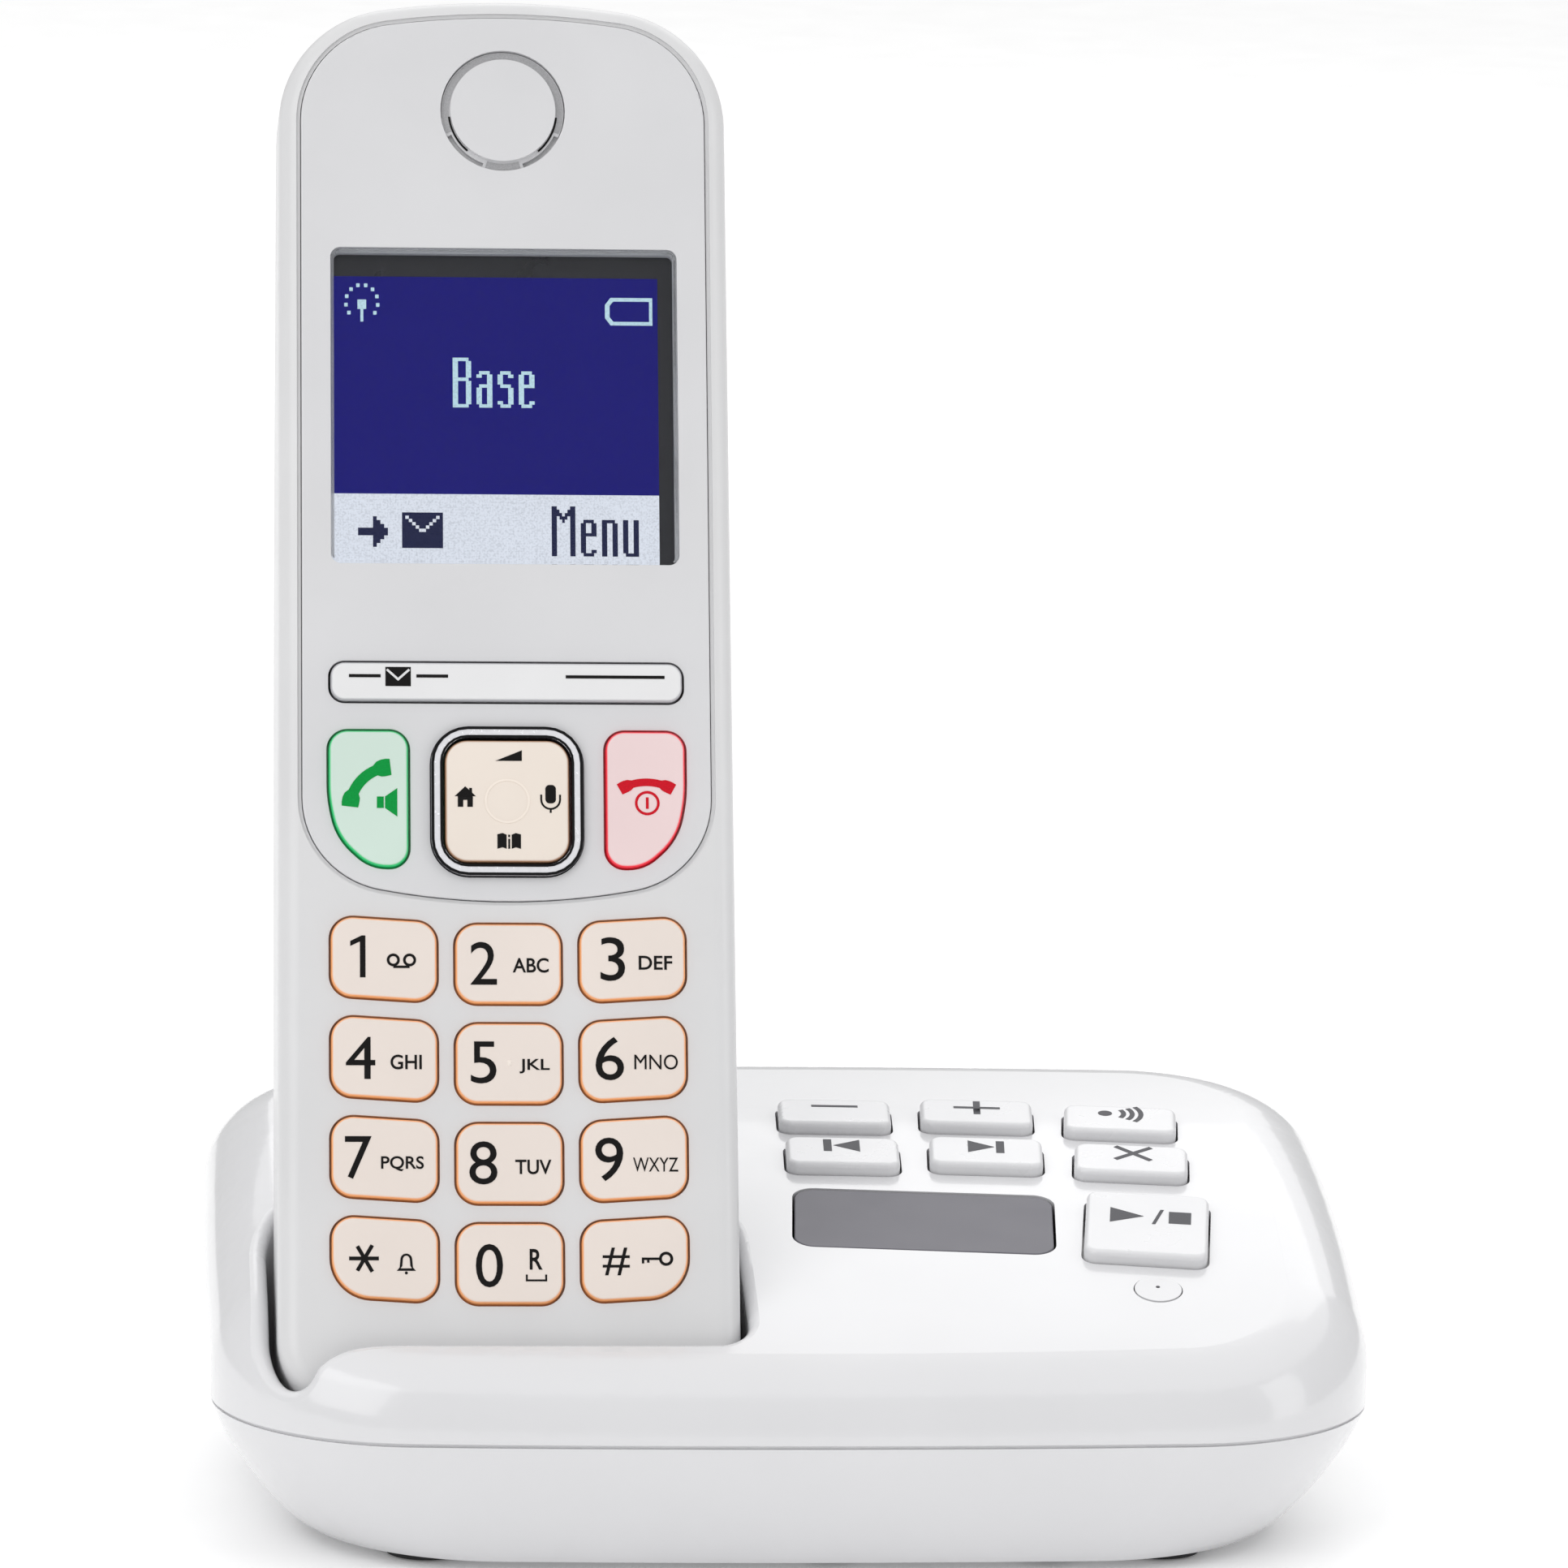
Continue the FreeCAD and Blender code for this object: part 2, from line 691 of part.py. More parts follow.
def build_front(number_holes, panel_holes, nav_holes):
    """Build the handset's front shell, its face panel and the pieces set in the panel."""
    panel_hole, nav_through = nav_holes
    window = (size("display_width"), size("display_height"), size("display_corner"))
    middle = (0.0, size("display_centre"))
    window_hole = feature("window_hole", prism(
        rounded_rectangle(*window, size("seat_gap"), middle),
        -size("panel_thickness"), size("handset_wall")))
    view_hole = feature("view_hole", prism(
        rounded_rectangle(*window, -size("window_seat"), middle),
        -2 * size("handset_wall"), size("handset_wall")))
    ear = (0.0, size("earpiece_centre"))
    ear_well = cylinder("ear_well", "earpiece_well_radius + seat_gap", "-panel_thickness",
                        "handset_wall", ear)
    ear_bore = cylinder("ear_bore", "earpiece_radius", "-2 * handset_wall", "handset_wall", ear)

    blank = padded("face_panel_blank", [(panel_outline(), "-panel_thickness", "face_level")])
    soften(blank, "key_edge / 2")
    keep(cut("face_panel_solid", blank, panel_holes + [panel_hole, window_hole, ear_well]),
         "face_panel", HANDSET)

    recess = feature("panel_recess", prism(panel_outline(size("seat_gap")),
                                           -size("panel_thickness"), size("handset_wall")))
    groove = feature("panel_groove", prism(panel_outline(size("panel_groove")),
                                           -size("panel_groove_depth"), size("handset_wall")))
    hull = feature("handset_outer", handset_hull())
    cavity = feature("handset_cavity", handset_hull(size("handset_wall")))
    front_half = feature("front_half", half_space(-size("parting_depth"), size("handset_wall")))
    mouth = cylinder("microphone_mouth", "microphone_hole", "-2 * handset_wall", "handset_wall",
                     (0.0, size("microphone_centre")))
    solid = common("front_blank", [hull, front_half])
    tools = [cavity, recess, groove, nav_through, view_hole, ear_bore, mouth]
    keep(cut("front_solid", solid, tools + number_holes + panel_holes), "handset_front_shell",
         HANDSET)

    lens = rounded_rectangle(*window, 0.0, middle)
    body = padded("display_window", [(lens, "-panel_thickness",
                                      "window_thickness - panel_thickness")])
    keep(soften(body, "key_edge / 2"), "display_window", HANDSET)

    glass = rounded_rectangle(window[0] + 1.0, window[1] + 1.0, window[2], 0.0, middle)
    body = padded("lcd_module", [(glass, "-handset_wall - lcd_thickness", "-handset_wall")])
    keep(body, "lcd_module", HANDSET)

    flange = cylinder("ear_flange", "earpiece_well_radius", "-panel_thickness",
                      "-earpiece_well_depth", ear)
    disc = cylinder("ear_disc", "earpiece_radius", "-earpiece_well_depth", "key_gap", ear)
    slots = feature("ear_slots", earpiece_slots(ear))
    whole = fuse("ear_blank", [flange, disc])
    keep(cut("ear_solid", whole, [slots]), "earpiece_cap", HANDSET)

    receiver = cylinder("receiver", "receiver_radius", "-handset_wall - receiver_thickness",
                        "-handset_wall", ear)
    keep(group("receiver_group", [receiver]), "earpiece_receiver", HANDSET)
    return hull, cavity


def earpiece_slots(centre):
    """Return two curved sound slots in the earpiece's well, low on each side."""
    reach = size("earpiece_well_radius")
    inner = reach - size("earpiece_slot_width")
    slots = []
    for start in (205.0, 290.0):
        ring = Part.makeCylinder(reach, 2 * size("handset_wall"),
                                 Vector(centre[0], centre[1], -2 * size("handset_wall")),
                                 Vector(0, 0, 1), 45.0)
        core = Part.makeCylinder(inner, 2 * size("handset_wall"),
                                 Vector(centre[0], centre[1], -2 * size("handset_wall")))
        ring.rotate(Vector(centre[0], centre[1], 0), Vector(0, 0, 1), start)
        slots.append(ring.cut(core))
    return Part.makeCompound(slots)


# ---------------------------------------------------------------- handset inside and back

def build_handset_inside():
    """Build the keypad mat, the board and what is mounted on it."""
    middle = (size("mat_low") + size("mat_high")) / 2
    inside = size("handset_width_low") - 2 * size("handset_wall")
    sheet_outline = rounded_rectangle(inside - 2 * size("mat_side_gap"), size("mat_high") - size("mat_low"),
                                      size("key_corner"), 0.0, (0.0, middle))
    keep(padded("keypad_mat", [(sheet_outline, MAT_LOW, MAT_TOP)]), "keypad_mat", HANDSET)

    middle = (size("board_low") + size("board_high")) / 2
    board = rounded_rectangle(inside - 2 * size("board_side_gap"), size("board_high") - size("board_low"),
                              size("key_corner"), 0.0, (0.0, middle))
    keep(padded("handset_board", [(board, BOARD_LOW, MAT_LOW)]), "handset_board", HANDSET)

    capsule = cylinder("microphone_capsule", "microphone_radius", MAT_LOW, "-handset_wall",
                       (0.0, size("microphone_centre")))
    keep(group("microphone_group", [capsule]), "microphone", HANDSET)

    ringer = cylinder("ringer_can", "ringer_radius", "-(ringer_depth + ringer_thickness)",
                      "-ringer_depth", (0.0, size("ringer_centre")))
    keep(group("ringer_group", [ringer]), "ringer_speaker", HANDSET)


def cover_blank(grow):
    """Return the battery cover's solid, grown sideways and endways by a gap."""
    half = size("cover_width") / 2 + grow
    low, high = size("cover_low") - grow, size("cover_high") + grow
    corners = [(-half, low), (half, low), (half, high), (-half, high)]
    corner = size("cover_corner") + grow
    hinge_corner = size("cover_gap") + grow
    deep = size("thickness_low") + size("back_bow") + size("handset_wall")
    plug = prism(rounded_polygon(corners, [hinge_corner, hinge_corner, corner, corner]),
                 -deep, -size("parting_depth"))
    return plug.common(back_cylinder())


def build_cover():
    """Build the battery cover, hinged at its lower end."""
    thin = size("cover_thickness")
    plate = cover_blank(0.0).cut(back_cylinder(thin))
    pivot_y = size("cover_low") + thin / 2
    pivot_z = -back_depth(pivot_y, thin / 2)
    width = size("cover_width")
    start = Vector(-width / 2, pivot_y, pivot_z)
    square = block((-width, size("cover_low") - thin, pivot_z - 2 * thin),
                   (width, pivot_y, pivot_z + 2 * thin))
    knuckle = Part.makeCylinder(thin / 2, width, start, Vector(1, 0, 0))
    plate = plate.cut(square).fuse(knuckle).removeSplitter()
    grip_y = size("cover_high") - 4 * thin
    grip = Part.makeCylinder(size("grip_width") / 2, thin,
                             Vector(0, grip_y, -back_depth(grip_y) + size("grip_depth") - thin))
    keep(feature("cover_plate", plate.cut(grip)), "battery_cover", HANDSET)


def cover_seat():
    """Return the recess that the cover closes and the ledge below it."""
    depth = size("cover_thickness") + size("cover_gap")
    recess = cover_blank(size("cover_gap")).cut(back_cylinder(depth))
    ledge = cover_blank(size("handset_wall")).common(back_cylinder(depth))
    return recess, ledge.cut(back_cylinder(depth + size("bay_wall")))


def build_rear(hull, cavity):
    """Build the rear shell with its battery bay and ringer seat, and the contact pads."""
    build_cover()
    recess, ledge = cover_seat()
    cover_hole = feature("cover_recess", recess)
    cover_ledge = feature("cover_ledge", ledge)
    gap, wall = size("bay_gap"), size("bay_wall")
    half = size("cell_pitch") / 2 + size("cell_radius") + gap
    low = size("cell_low") - size("spring_length") - gap
    high = size("cell_low") + size("cell_length") + size("strip_thickness") + gap
    top = gap + size("cell_radius") - size("cell_depth")
    deep = -back_depth(size("handset_length") / 2) - wall
    shell_deep = feature("rear_reach", handset_hull(size("handset_wall") / 2))
    bay_outer = feature("bay_outer", block((-half - wall, low - wall, deep),
                                           (half + wall, high + wall, top + wall)))
    bay_block = common("bay_block", [bay_outer, shell_deep])
    bay_void = feature("bay_void", block((-half, low, deep), (half, high, top)))

    centre = (0.0, size("ringer_centre"))
    seat = cylinder("ringer_seat", "ringer_radius", "-(thickness_low + back_bow)",
                    "-(ringer_depth + ringer_thickness)", centre)
    seat_block = common("seat_block", [seat, shell_deep])
    seat_bore = cylinder("seat_bore", "ringer_radius - bay_wall", "-(thickness_low + back_bow)",
                         "-(ringer_depth + ringer_thickness)", centre)
    limit = feature("seat_limit", handset_hull(size("handset_wall")))
    seat_void = common("seat_void", [seat_bore, limit])

    slots = []
    for step in (-2, -1, 0, 1, 2):
        y = size("ringer_centre") + step * size("ringer_slot_pitch")
        reach = math.sqrt((size("ringer_radius") - 2 * wall) ** 2 -
                          (step * size("ringer_slot_pitch")) ** 2)
        slot = rounded_rectangle(2 * reach, size("ringer_slot_width"),
                                 size("ringer_slot_width") * 0.49, 0.0, (0.0, y))
        slots.append(prism(slot, 2 * deep, -size("ringer_depth") - size("ringer_thickness")))
    grille = feature("ringer_grille", Part.makeCompound(slots))

    rear_half = feature("rear_half", half_space(2 * deep, -size("parting_depth")))
    outer = common("rear_outer", [hull, rear_half])
    skin = cut("rear_skin", outer, [cavity])
    solid = fuse("rear_blank", [skin, bay_block, cover_ledge, seat_block])
    pads = [pad_box(side, 0.0) for side in (-1, 1)]
    pad_holes = feature("pad_holes", Part.makeCompound(pads))
    keep(cut("rear_solid", solid, [bay_void, seat_void, grille, cover_hole, pad_holes]),
         "handset_rear_shell", HANDSET)
    flush = feature("pad_plates", Part.makeCompound([pad_box(side, size("pad_recess"))
                                                     for side in (-1, 1)]))
    keep(group("pads", [flush]), "handset_charge_pads", HANDSET)


def pad_box(side, recess):
    """Return a charging pad through the handset's lower end, set back by a recess."""
    x = side * size("contact_spacing") / 2
    half_x, half_z = size("pad_width") / 2, size("pad_height") / 2
    low = -size("handset_wall") if recess == 0.0 else end_level(x) + recess
    return block((x - half_x, low, -size("contact_depth") - half_z),
                 (x + half_x, 2 * size("handset_wall"), -size("contact_depth") + half_z))


def end_level(across):
    """Return how far up the handset its crowned lower end lies, off its centre line."""
    radius = size("crown_radius_low")
    return radius - math.sqrt(radius ** 2 - across ** 2)


def cell_spring(centre):
    """Return a bent leaf spring, open at one side, that presses on a cell's end."""
    reach, width = size("spring_length") / 2, size("spring_width")
    foot = centre - Vector(0, 0, width / 2)
    roll = Part.makeCylinder(reach, width, foot)
    hollow = Part.makeCylinder(reach - size("spring_thickness"), width, foot)
    mouth = Part.makeBox(reach, reach, width, foot + Vector(0, -reach / 2, 0))
    return roll.cut(hollow).cut(mouth)


def build_cells():
    """Build the two cells, their springs and the strips that join them."""
    radius, low, depth = size("cell_radius"), size("cell_low"), -size("cell_depth")
    along = Vector(0, 1, 0)
    nub = size("strip_thickness") * 2
    springs, strips = [], []
    for name, side in (("battery_a", -1), ("battery_b", 1)):
        x = side * size("cell_pitch") / 2
        way = side
        can_low = low if way > 0 else low + nub
        can = Part.makeCylinder(radius, size("cell_length") - nub, Vector(x, can_low, depth), along)
        nub_low = low + size("cell_length") - nub if way > 0 else low
        tip = Part.makeCylinder(radius * 0.35, nub, Vector(x, nub_low, depth), along)
        keep(feature(f"{name}_cell", can.fuse(tip)), name, HANDSET)
        springs.append(cell_spring(Vector(x, low - size("spring_length") / 2, depth)))
    far = low + size("cell_length")
    half = size("cell_pitch") / 2 + radius * 0.8
    strips.append(block((-half, far, depth - radius * 0.6),
                        (half, far + size("strip_thickness"), depth + radius * 0.6)))
    near = low - size("spring_length")
    for side in (-1, 1):
        x = side * size("cell_pitch") / 2
        strips.append(block((x - radius * 0.8, near - size("strip_thickness"), depth - radius * 0.6),
                            (x + radius * 0.8, near, depth + radius * 0.6)))
    keep(feature("springs", Part.makeCompound(springs)), "battery_springs", HANDSET)
    keep(feature("strips", Part.makeCompound(strips)), "battery_contacts", HANDSET)


# ---------------------------------------------------------------- base hull

def base_outline(tuck_x, tuck_y, inset=0.0):
    """Return the base's outline: four crowned sides joined by round corners.

    tuck_x and tuck_y draw the sides in where the belly curves under.
    """
    half_x = size("base_width") / 2 - tuck_x - inset
    half_y = size("base_depth") / 2 - tuck_y - inset
    side, front = size("base_side_crown") - inset, size("base_front_crown") - inset
    corner = size("base_corner_radius") - inset
    side_centre, front_centre = Vector(half_x - side, 0, 0), Vector(0, half_y - front, 0)
    apart = front_centre - side_centre
    gap = apart.Length
    along = (gap ** 2 + (side - corner) ** 2 - (front - corner) ** 2) / (2 * gap)
    off = math.sqrt((side - corner) ** 2 - along ** 2)
    apart.normalize()
    centre = side_centre + apart * along + Vector(-apart.y, apart.x, 0) * off
    on_side = side_centre + (centre - side_centre).normalize() * side
    on_front = front_centre + (centre - front_centre).normalize() * front

    def turned(point, sign_x, sign_y):
        return Vector(point.x * sign_x, point.y * sign_y, 0)

    right, back = Vector(half_x, 0, 0), Vector(0, half_y, 0)
    outline = []
    for sign in (1, -1):
        outline.append(Part.Arc(turned(on_side, sign, -sign), turned(right, sign, 1),
                                turned(on_side, sign, sign)))
        outline.append(arc_between(turned(centre, sign, sign), corner,
                                   turned(on_side, sign, sign), turned(on_front, sign, sign)))
        outline.append(Part.Arc(turned(on_front, sign, sign), turned(back, 1, sign),
                                turned(on_front, -sign, sign)))
        outline.append(arc_between(turned(centre, -sign, sign), corner,
                                   turned(on_front, -sign, sign), turned(on_side, -sign, sign)))
    return outline


def base_lower(inset=0.0):
    """Return the base's belly, from its floor up to the seam."""
    floor = size("base_floor_height") + inset
    seam = size("base_seam_height")
    exponent = 2 / size("base_belly_power")
    rings = []
    for degrees in (90, 70, 52, 35, 18, 0):
        angle = math.radians(degrees)
        tuck = 1 - max(math.cos(angle), 0.0) ** exponent
        drop = math.sin(angle) ** exponent
        outline = base_outline(size("base_foot_inset_side") * tuck,
                               size("base_foot_inset_front") * tuck, inset)
        wire = Part.Wire([edge.toShape() for edge in outline])
        wire.translate(Vector(0, 0, seam - (seam - floor) * drop))
        rings.append(wire)
    return Part.makeLoft(rings, True, False)


def deck_cylinder(inset=0.0):
    """Return the round solid whose skin is the deck's surface."""
    radius = size("deck_radius")
    slope = math.radians(size("deck_slope"))
    width = size("base_width")
    centre = Vector(-width, radius * math.sin(slope),
                    size("deck_height") - radius * math.cos(slope))
    return Part.makeCylinder(radius - inset, 2 * width, centre, Vector(1, 0, 0))


def base_upper(inset=0.0):
    """Return the base's upper hull, from the seam to the deck, with its rounded edge."""
    low = size("base_seam_height") - (size("base_wall") if inset else 0.0)
    sides = prism(base_outline(0.0, 0.0, inset), low, 2 * size("deck_height"))
    solid = sides.common(deck_cylinder(inset))
    axis_y = size("deck_radius") * math.sin(math.radians(size("deck_slope")))
    axis_z = deck_level(0.0) - size("deck_radius") * math.cos(math.radians(size("deck_slope")))

    def on_deck_edge(point):
        reach = math.hypot(point.y - axis_y, point.z - axis_z)
        return abs(reach - size("deck_radius") + inset) < 1e-2

    return solid.makeFillet(size("deck_edge_radius") - inset, rim_edges(solid, on_deck_edge))


# ---------------------------------------------------------------- deck pieces

def deck_layout():
    """Return each deck key's name, width, depth, place across, row and turn."""
    first, pitch = size("deck_column_first"), size("deck_column_pitch")
    wide, deep = size("deck_key_width"), size("deck_key_depth")
    back, middle = size("deck_row_back"), size("deck_row_middle")
    drop = size("deck_third_column_drop")
    turns = (size("deck_turn_first"), size("deck_turn_second"), size("deck_turn_third"))
    rows = ((back, ("key_minus", "key_plus", "key_page")),
            (middle, ("key_previous", "key_next", "key_delete")))
    keys = []
    for row, names in rows:
        for column, name in enumerate(names):
            shift = drop if column == 2 else 0.0
            keys.append((name, wide, deep, first + column * pitch, row - shift, turns[column]))
    keys.append(("key_play", size("play_key_width"), size("play_key_depth"),
                 first + 2 * pitch, size("deck_row_play"), size("deck_turn_play")))
    return keys


DECK_FLANGE_TOP = "-(base_wall + key_flange_gap)"
DECK_FLANGE_LOW = "-(base_wall + key_flange_gap + deck_flange_thickness)"


def build_deck_keys():
    """Build the keys on the deck and return the holes they need."""
    corner, gap = size("deck_key_corner"), size("deck_key_gap")
    wall = size("base_wall")
    holes = []
    for name, wide, deep, across, row, turn in deck_layout():
        place = on_deck(across, row, turn)
        cap = rounded_rectangle(wide, deep, corner)
        flange = rounded_rectangle(wide, deep, corner, size("deck_key_flange"))
        body = padded(name, [(flange, DECK_FLANGE_LOW, DECK_FLANGE_TOP),
                             (cap, DECK_FLANGE_TOP, "deck_key_proud")])
        keep(soften(body, "deck_key_edge"), name, place)
        hole = feature(f"{name}_hole", prism(rounded_rectangle(wide, deep, corner, gap),
                                             -2 * wall, 2 * wall))
        hole.Placement = place
        holes.append(hole)
    across = size("deck_column_first") + 2 * size("deck_column_pitch")
    place = on_deck(across, size("round_key_row"))
    cap = cylinder("round_cap", "round_key_radius", DECK_FLANGE_TOP, "round_key_proud")
    flange = cylinder("round_flange", "round_key_radius + deck_key_flange", DECK_FLANGE_LOW,
                      DECK_FLANGE_TOP)
    keep(fuse("round_key", [cap, flange]), "key_answer", place)
    hole = cylinder("round_hole", "round_key_radius + deck_key_gap / 2", "-2 * base_wall",
                    "base_wall")
    holes.append(group("round_hole_placed", [hole]))
    holes[-1].Placement = place
    return holes


def build_counter():
    """Build the message counter's window and display, and return the window's hole."""
    place = on_deck(size("counter_across"), size("counter_row"), size("counter_turn"))
    shape = (size("counter_width"), size("counter_depth"), size("counter_corner"))
    low = "-(counter_recess + counter_thickness)"
    window = padded("base_window", [(rounded_rectangle(*shape), low, "-counter_recess")])
    keep(soften(window, "key_edge / 2"), "base_window", place)
    module = rounded_rectangle(*shape, -size("window_seat"))
    keep(padded("counter_display", [(module, f"{low} - counter_module", low)]), "counter_display", place)
    hole = feature("counter_hole", prism(rounded_rectangle(*shape, size("deck_key_gap")),
                                         -2 * size("base_wall"), size("base_wall")))
    hole.Placement = place
    return hole


DECK_PLANE = Placement(Vector(0, 0, size("deck_height")),
                       Rotation(Vector(1, 0, 0), size("deck_slope")))


def build_deck_inside():
    """Build the rubber mat below the deck keys and the base's circuit board."""
    depth, board = size("deck_mat_depth"), size("deck_board_depth")
    left, right = size("deck_board_left"), size("deck_board_right")
    inset = size("base_wall")
    back = size("deck_row_back") + size("deck_key_depth") / 2
    front = size("deck_row_middle") - size("deck_key_depth") / 2 - size("deck_third_column_drop")
    play = right - inset - size("play_key_width") - 2 * size("deck_key_flange")
    rows = block((left + inset, front + size("deck_key_flange"), -board),
                 (right - inset, back + size("deck_key_flange"), 0))
    lane = block((play, size("round_key_row") - size("round_key_radius"), -board),
                 (right - inset, back, 0))
    slab = feature("mat_slab", rows.fuse(lane).removeSplitter())
    slab.Placement = DECK_PLANE
    dome = feature("mat_dome", deck_cylinder(depth))
    keep(common("mat_solid", [slab, dome]), "base_key_mat")

    outline = rounded_rectangle(right - left, size("deck_board_back") - size("deck_board_front"),
                                size("deck_key_corner"), 0.0,
                                ((left + right) / 2,
                                 (size("deck_board_back") + size("deck_board_front")) / 2))
    keep(padded("base_board", [(outline, "-(deck_board_depth + deck_board_thickness)",
                                "-deck_board_depth")]), "base_board", DECK_PLANE)


# ---------------------------------------------------------------- base shells

def boss_places():
    """Return the places of the screws that hold the two base shells together."""
    back = size("screw_row_back")
    outer = size("foot_across") - size("screw_gap")
    front = -size("screw_row_front")
    return [(size("screw_across_front"), front), (size("screw_pitch_front")
             + size("screw_across_front"), front), (outer, back), (-outer, back)]


def build_charge_contacts():
    """Build the two sprung contacts in the cradle's floor and return their slots."""
    half_x, half_z = size("contact_width") / 2, size("contact_thickness") / 2
    depth, gap = size("contact_depth"), size("cover_gap")
    slots = []
    for name, side in (("charge_contact_left", -1), ("charge_contact_right", 1)):
        x = side * size("contact_spacing") / 2
        tip = end_level(x - side * half_x) - size("contact_gap")
        tongue = block((x - half_x, tip - size("contact_length"), -depth - half_z),
                       (x + half_x, tip, -depth + half_z))
        keep(feature(f"{name}_tongue", tongue), name, HANDSET)
        slots.append(block((x - half_x - gap, -2 * size("contact_length"), -depth - half_z - gap),
                           (x + half_x + gap, size("contact_length"), -depth + half_z + gap)))
    holes = feature("contact_slots", Part.makeCompound(slots))
    holes.Placement = HANDSET
    return holes


def rounded_lip(solid, hull, well):
    """Round the edges along which the cradle's well breaks through the hull."""
    skins = [Part.makeShell(hull.Faces), Part.makeShell(well.Faces)]

    def on_both(point):
        vertex = Part.Vertex(point)
        return all(vertex.distToShape(skin)[0] < 1e-3 for skin in skins)

    return solid.makeFillet(size("cradle_lip"), rim_edges(solid, on_both))


def build_top_shell(holes):
    """Build the base's top shell with its deck openings and the handset's cradle."""
    hull = base_upper()
    skin = hull.cut(base_upper(size("base_wall")))
    reach = hull.fuse(base_lower(size("base_wall") + size("cover_gap")))
    tub = handset_hull(-size("cradle_gap") - size("cradle_wall"))
    tub.Placement = HANDSET
    well = handset_hull(-size("cradle_gap"))
    well.Placement = HANDSET
    shell = feature("cradle_shell",
                    rounded_lip(skin.fuse(tub.common(reach)).cut(well), hull, well))
    bosses = []
    bores = []
    for index, (x, y) in enumerate(boss_places()):
        bosses.append(cylinder(f"top_boss_{index}", "boss_radius", "base_seam_height",
                               "2 * deck_height", (x, y)))
        bores.append(cylinder(f"top_bore_{index}", "screw_radius + seat_gap / 2", "floor_level",
                              "screw_length + base_floor_height + foot_recess + screw_gap",
                              (x, y)))
    columns = common("top_columns", [fuse("top_bosses", bosses), feature("upper_hull", hull)])
    keep(cut("top_solid", fuse("top_blank", [shell, columns]), holes + bores), "base_top_shell")


def build_bottom_shell():
    """Build the base's bottom shell with its bosses, sockets, grille, feet and screws."""
    outer = feature("lower_outer", base_lower())
    inner = feature("lower_inner", base_lower(size("base_wall")))
    seam, groove = size("base_seam_height"), size("base_seam_groove")
    half_x, half_y = size("base_width"), size("base_depth")
    band = block((-half_x, -half_y, seam - groove), (half_x, half_y, seam + groove))
    core = prism(base_outline(0.0, 0.0, groove), seam - groove, seam + groove)
    step = feature("seam_step", band.cut(core))
    skin = cut("lower_skin", outer, [inner, step])

    bosses, bores, screws = [], [], []
    for index, (x, y) in enumerate(boss_places()):
        bosses.append(cylinder(f"low_boss_{index}", "boss_radius", "base_floor_height",
                               "base_seam_height", (x, y)))
        bores.append(cylinder(f"low_bore_{index}", "screw_radius + screw_gap", "floor_level",
                              "base_seam_height", (x, y)))
        bores.append(cylinder(f"low_counterbore_{index}", "screw_head_radius + screw_gap",
                              "floor_level",
                              "base_floor_height + foot_recess + screw_head_height", (x, y)))
        head = cylinder(f"screw_head_{index}", "screw_head_radius",
                        "base_floor_height + foot_recess",
                        "base_floor_height + foot_recess + screw_head_height", (x, y))
        shank = cylinder(f"screw_shank_{index}", "screw_radius",
                         "base_floor_height + foot_recess",
                         "base_floor_height + foot_recess + screw_length", (x, y))
        driver = feature(f"screw_drive_{index}", cross_slot(x, y))
        screws.append(cut(f"screw_{index}", fuse(f"screw_blank_{index}", [head, shank]),
                          [driver]))
    keep(group("screws", screws), "base_screws")
    columns = common("low_columns", [fuse("low_bosses", bosses), outer])

    sockets = []
    for name, across in (("line_socket", size("line_socket_across")),
                         ("power_socket", size("power_socket_across"))):
        sockets.append(build_socket(name, across))
    feet, seats = build_feet()
    grille = build_loudspeaker()
    solid = fuse("low_blank", [skin, columns])
    keep(cut("low_solid", solid, bores + sockets + [seats, grille]), "base_bottom_shell")
    return feet


def cross_slot(x, y):
    """Return the cross recess in a screw's head."""
    reach, half = size("screw_head_radius") * 0.6, size("screw_radius") * 0.25
    low = size("base_floor_height")
    high = low + size("foot_recess") + size("screw_head_height") * 0.6
    one = block((x - reach, y - half, low), (x + reach, y + half, high))
    other = block((x - half, y - reach, low), (x + half, y + reach, high))
    return one.fuse(other)


def build_socket(name, across):
    """Build a modular socket at the back and return its opening in the wall."""
    half = size("socket_width") / 2
    back = size("base_depth") / 2 - size("socket_setback")
    low = size("base_floor_height") + size("base_wall")
    high = low + size("socket_height")
    housing = block((across - half, back - size("socket_length"), low),
                    (across + half, back, high))
    mouth_half = size("socket_mouth_width") / 2
    mouth_low = low + (size("socket_height") - size("socket_mouth_height")
                       + size("latch_height")) / 2
    mouth = block((across - mouth_half, back - size("socket_mouth_depth"), mouth_low),
                  (across + mouth_half, back + 1.0, mouth_low + size("socket_mouth_height")))
    latch = block((across - size("latch_width") / 2, back - size("socket_mouth_depth"),
                   mouth_low - size("latch_height")),
                  (across + size("latch_width") / 2, back + 1.0, mouth_low))
    keep(feature(f"{name}_housing", housing.cut(mouth.fuse(latch))), name)
    gap = size("deck_key_gap")
    return feature(f"{name}_hole", block((across - half - gap, back - size("socket_length"),
                                          low),
                                         (across + half + gap, size("base_depth"),
                                          high + gap)))


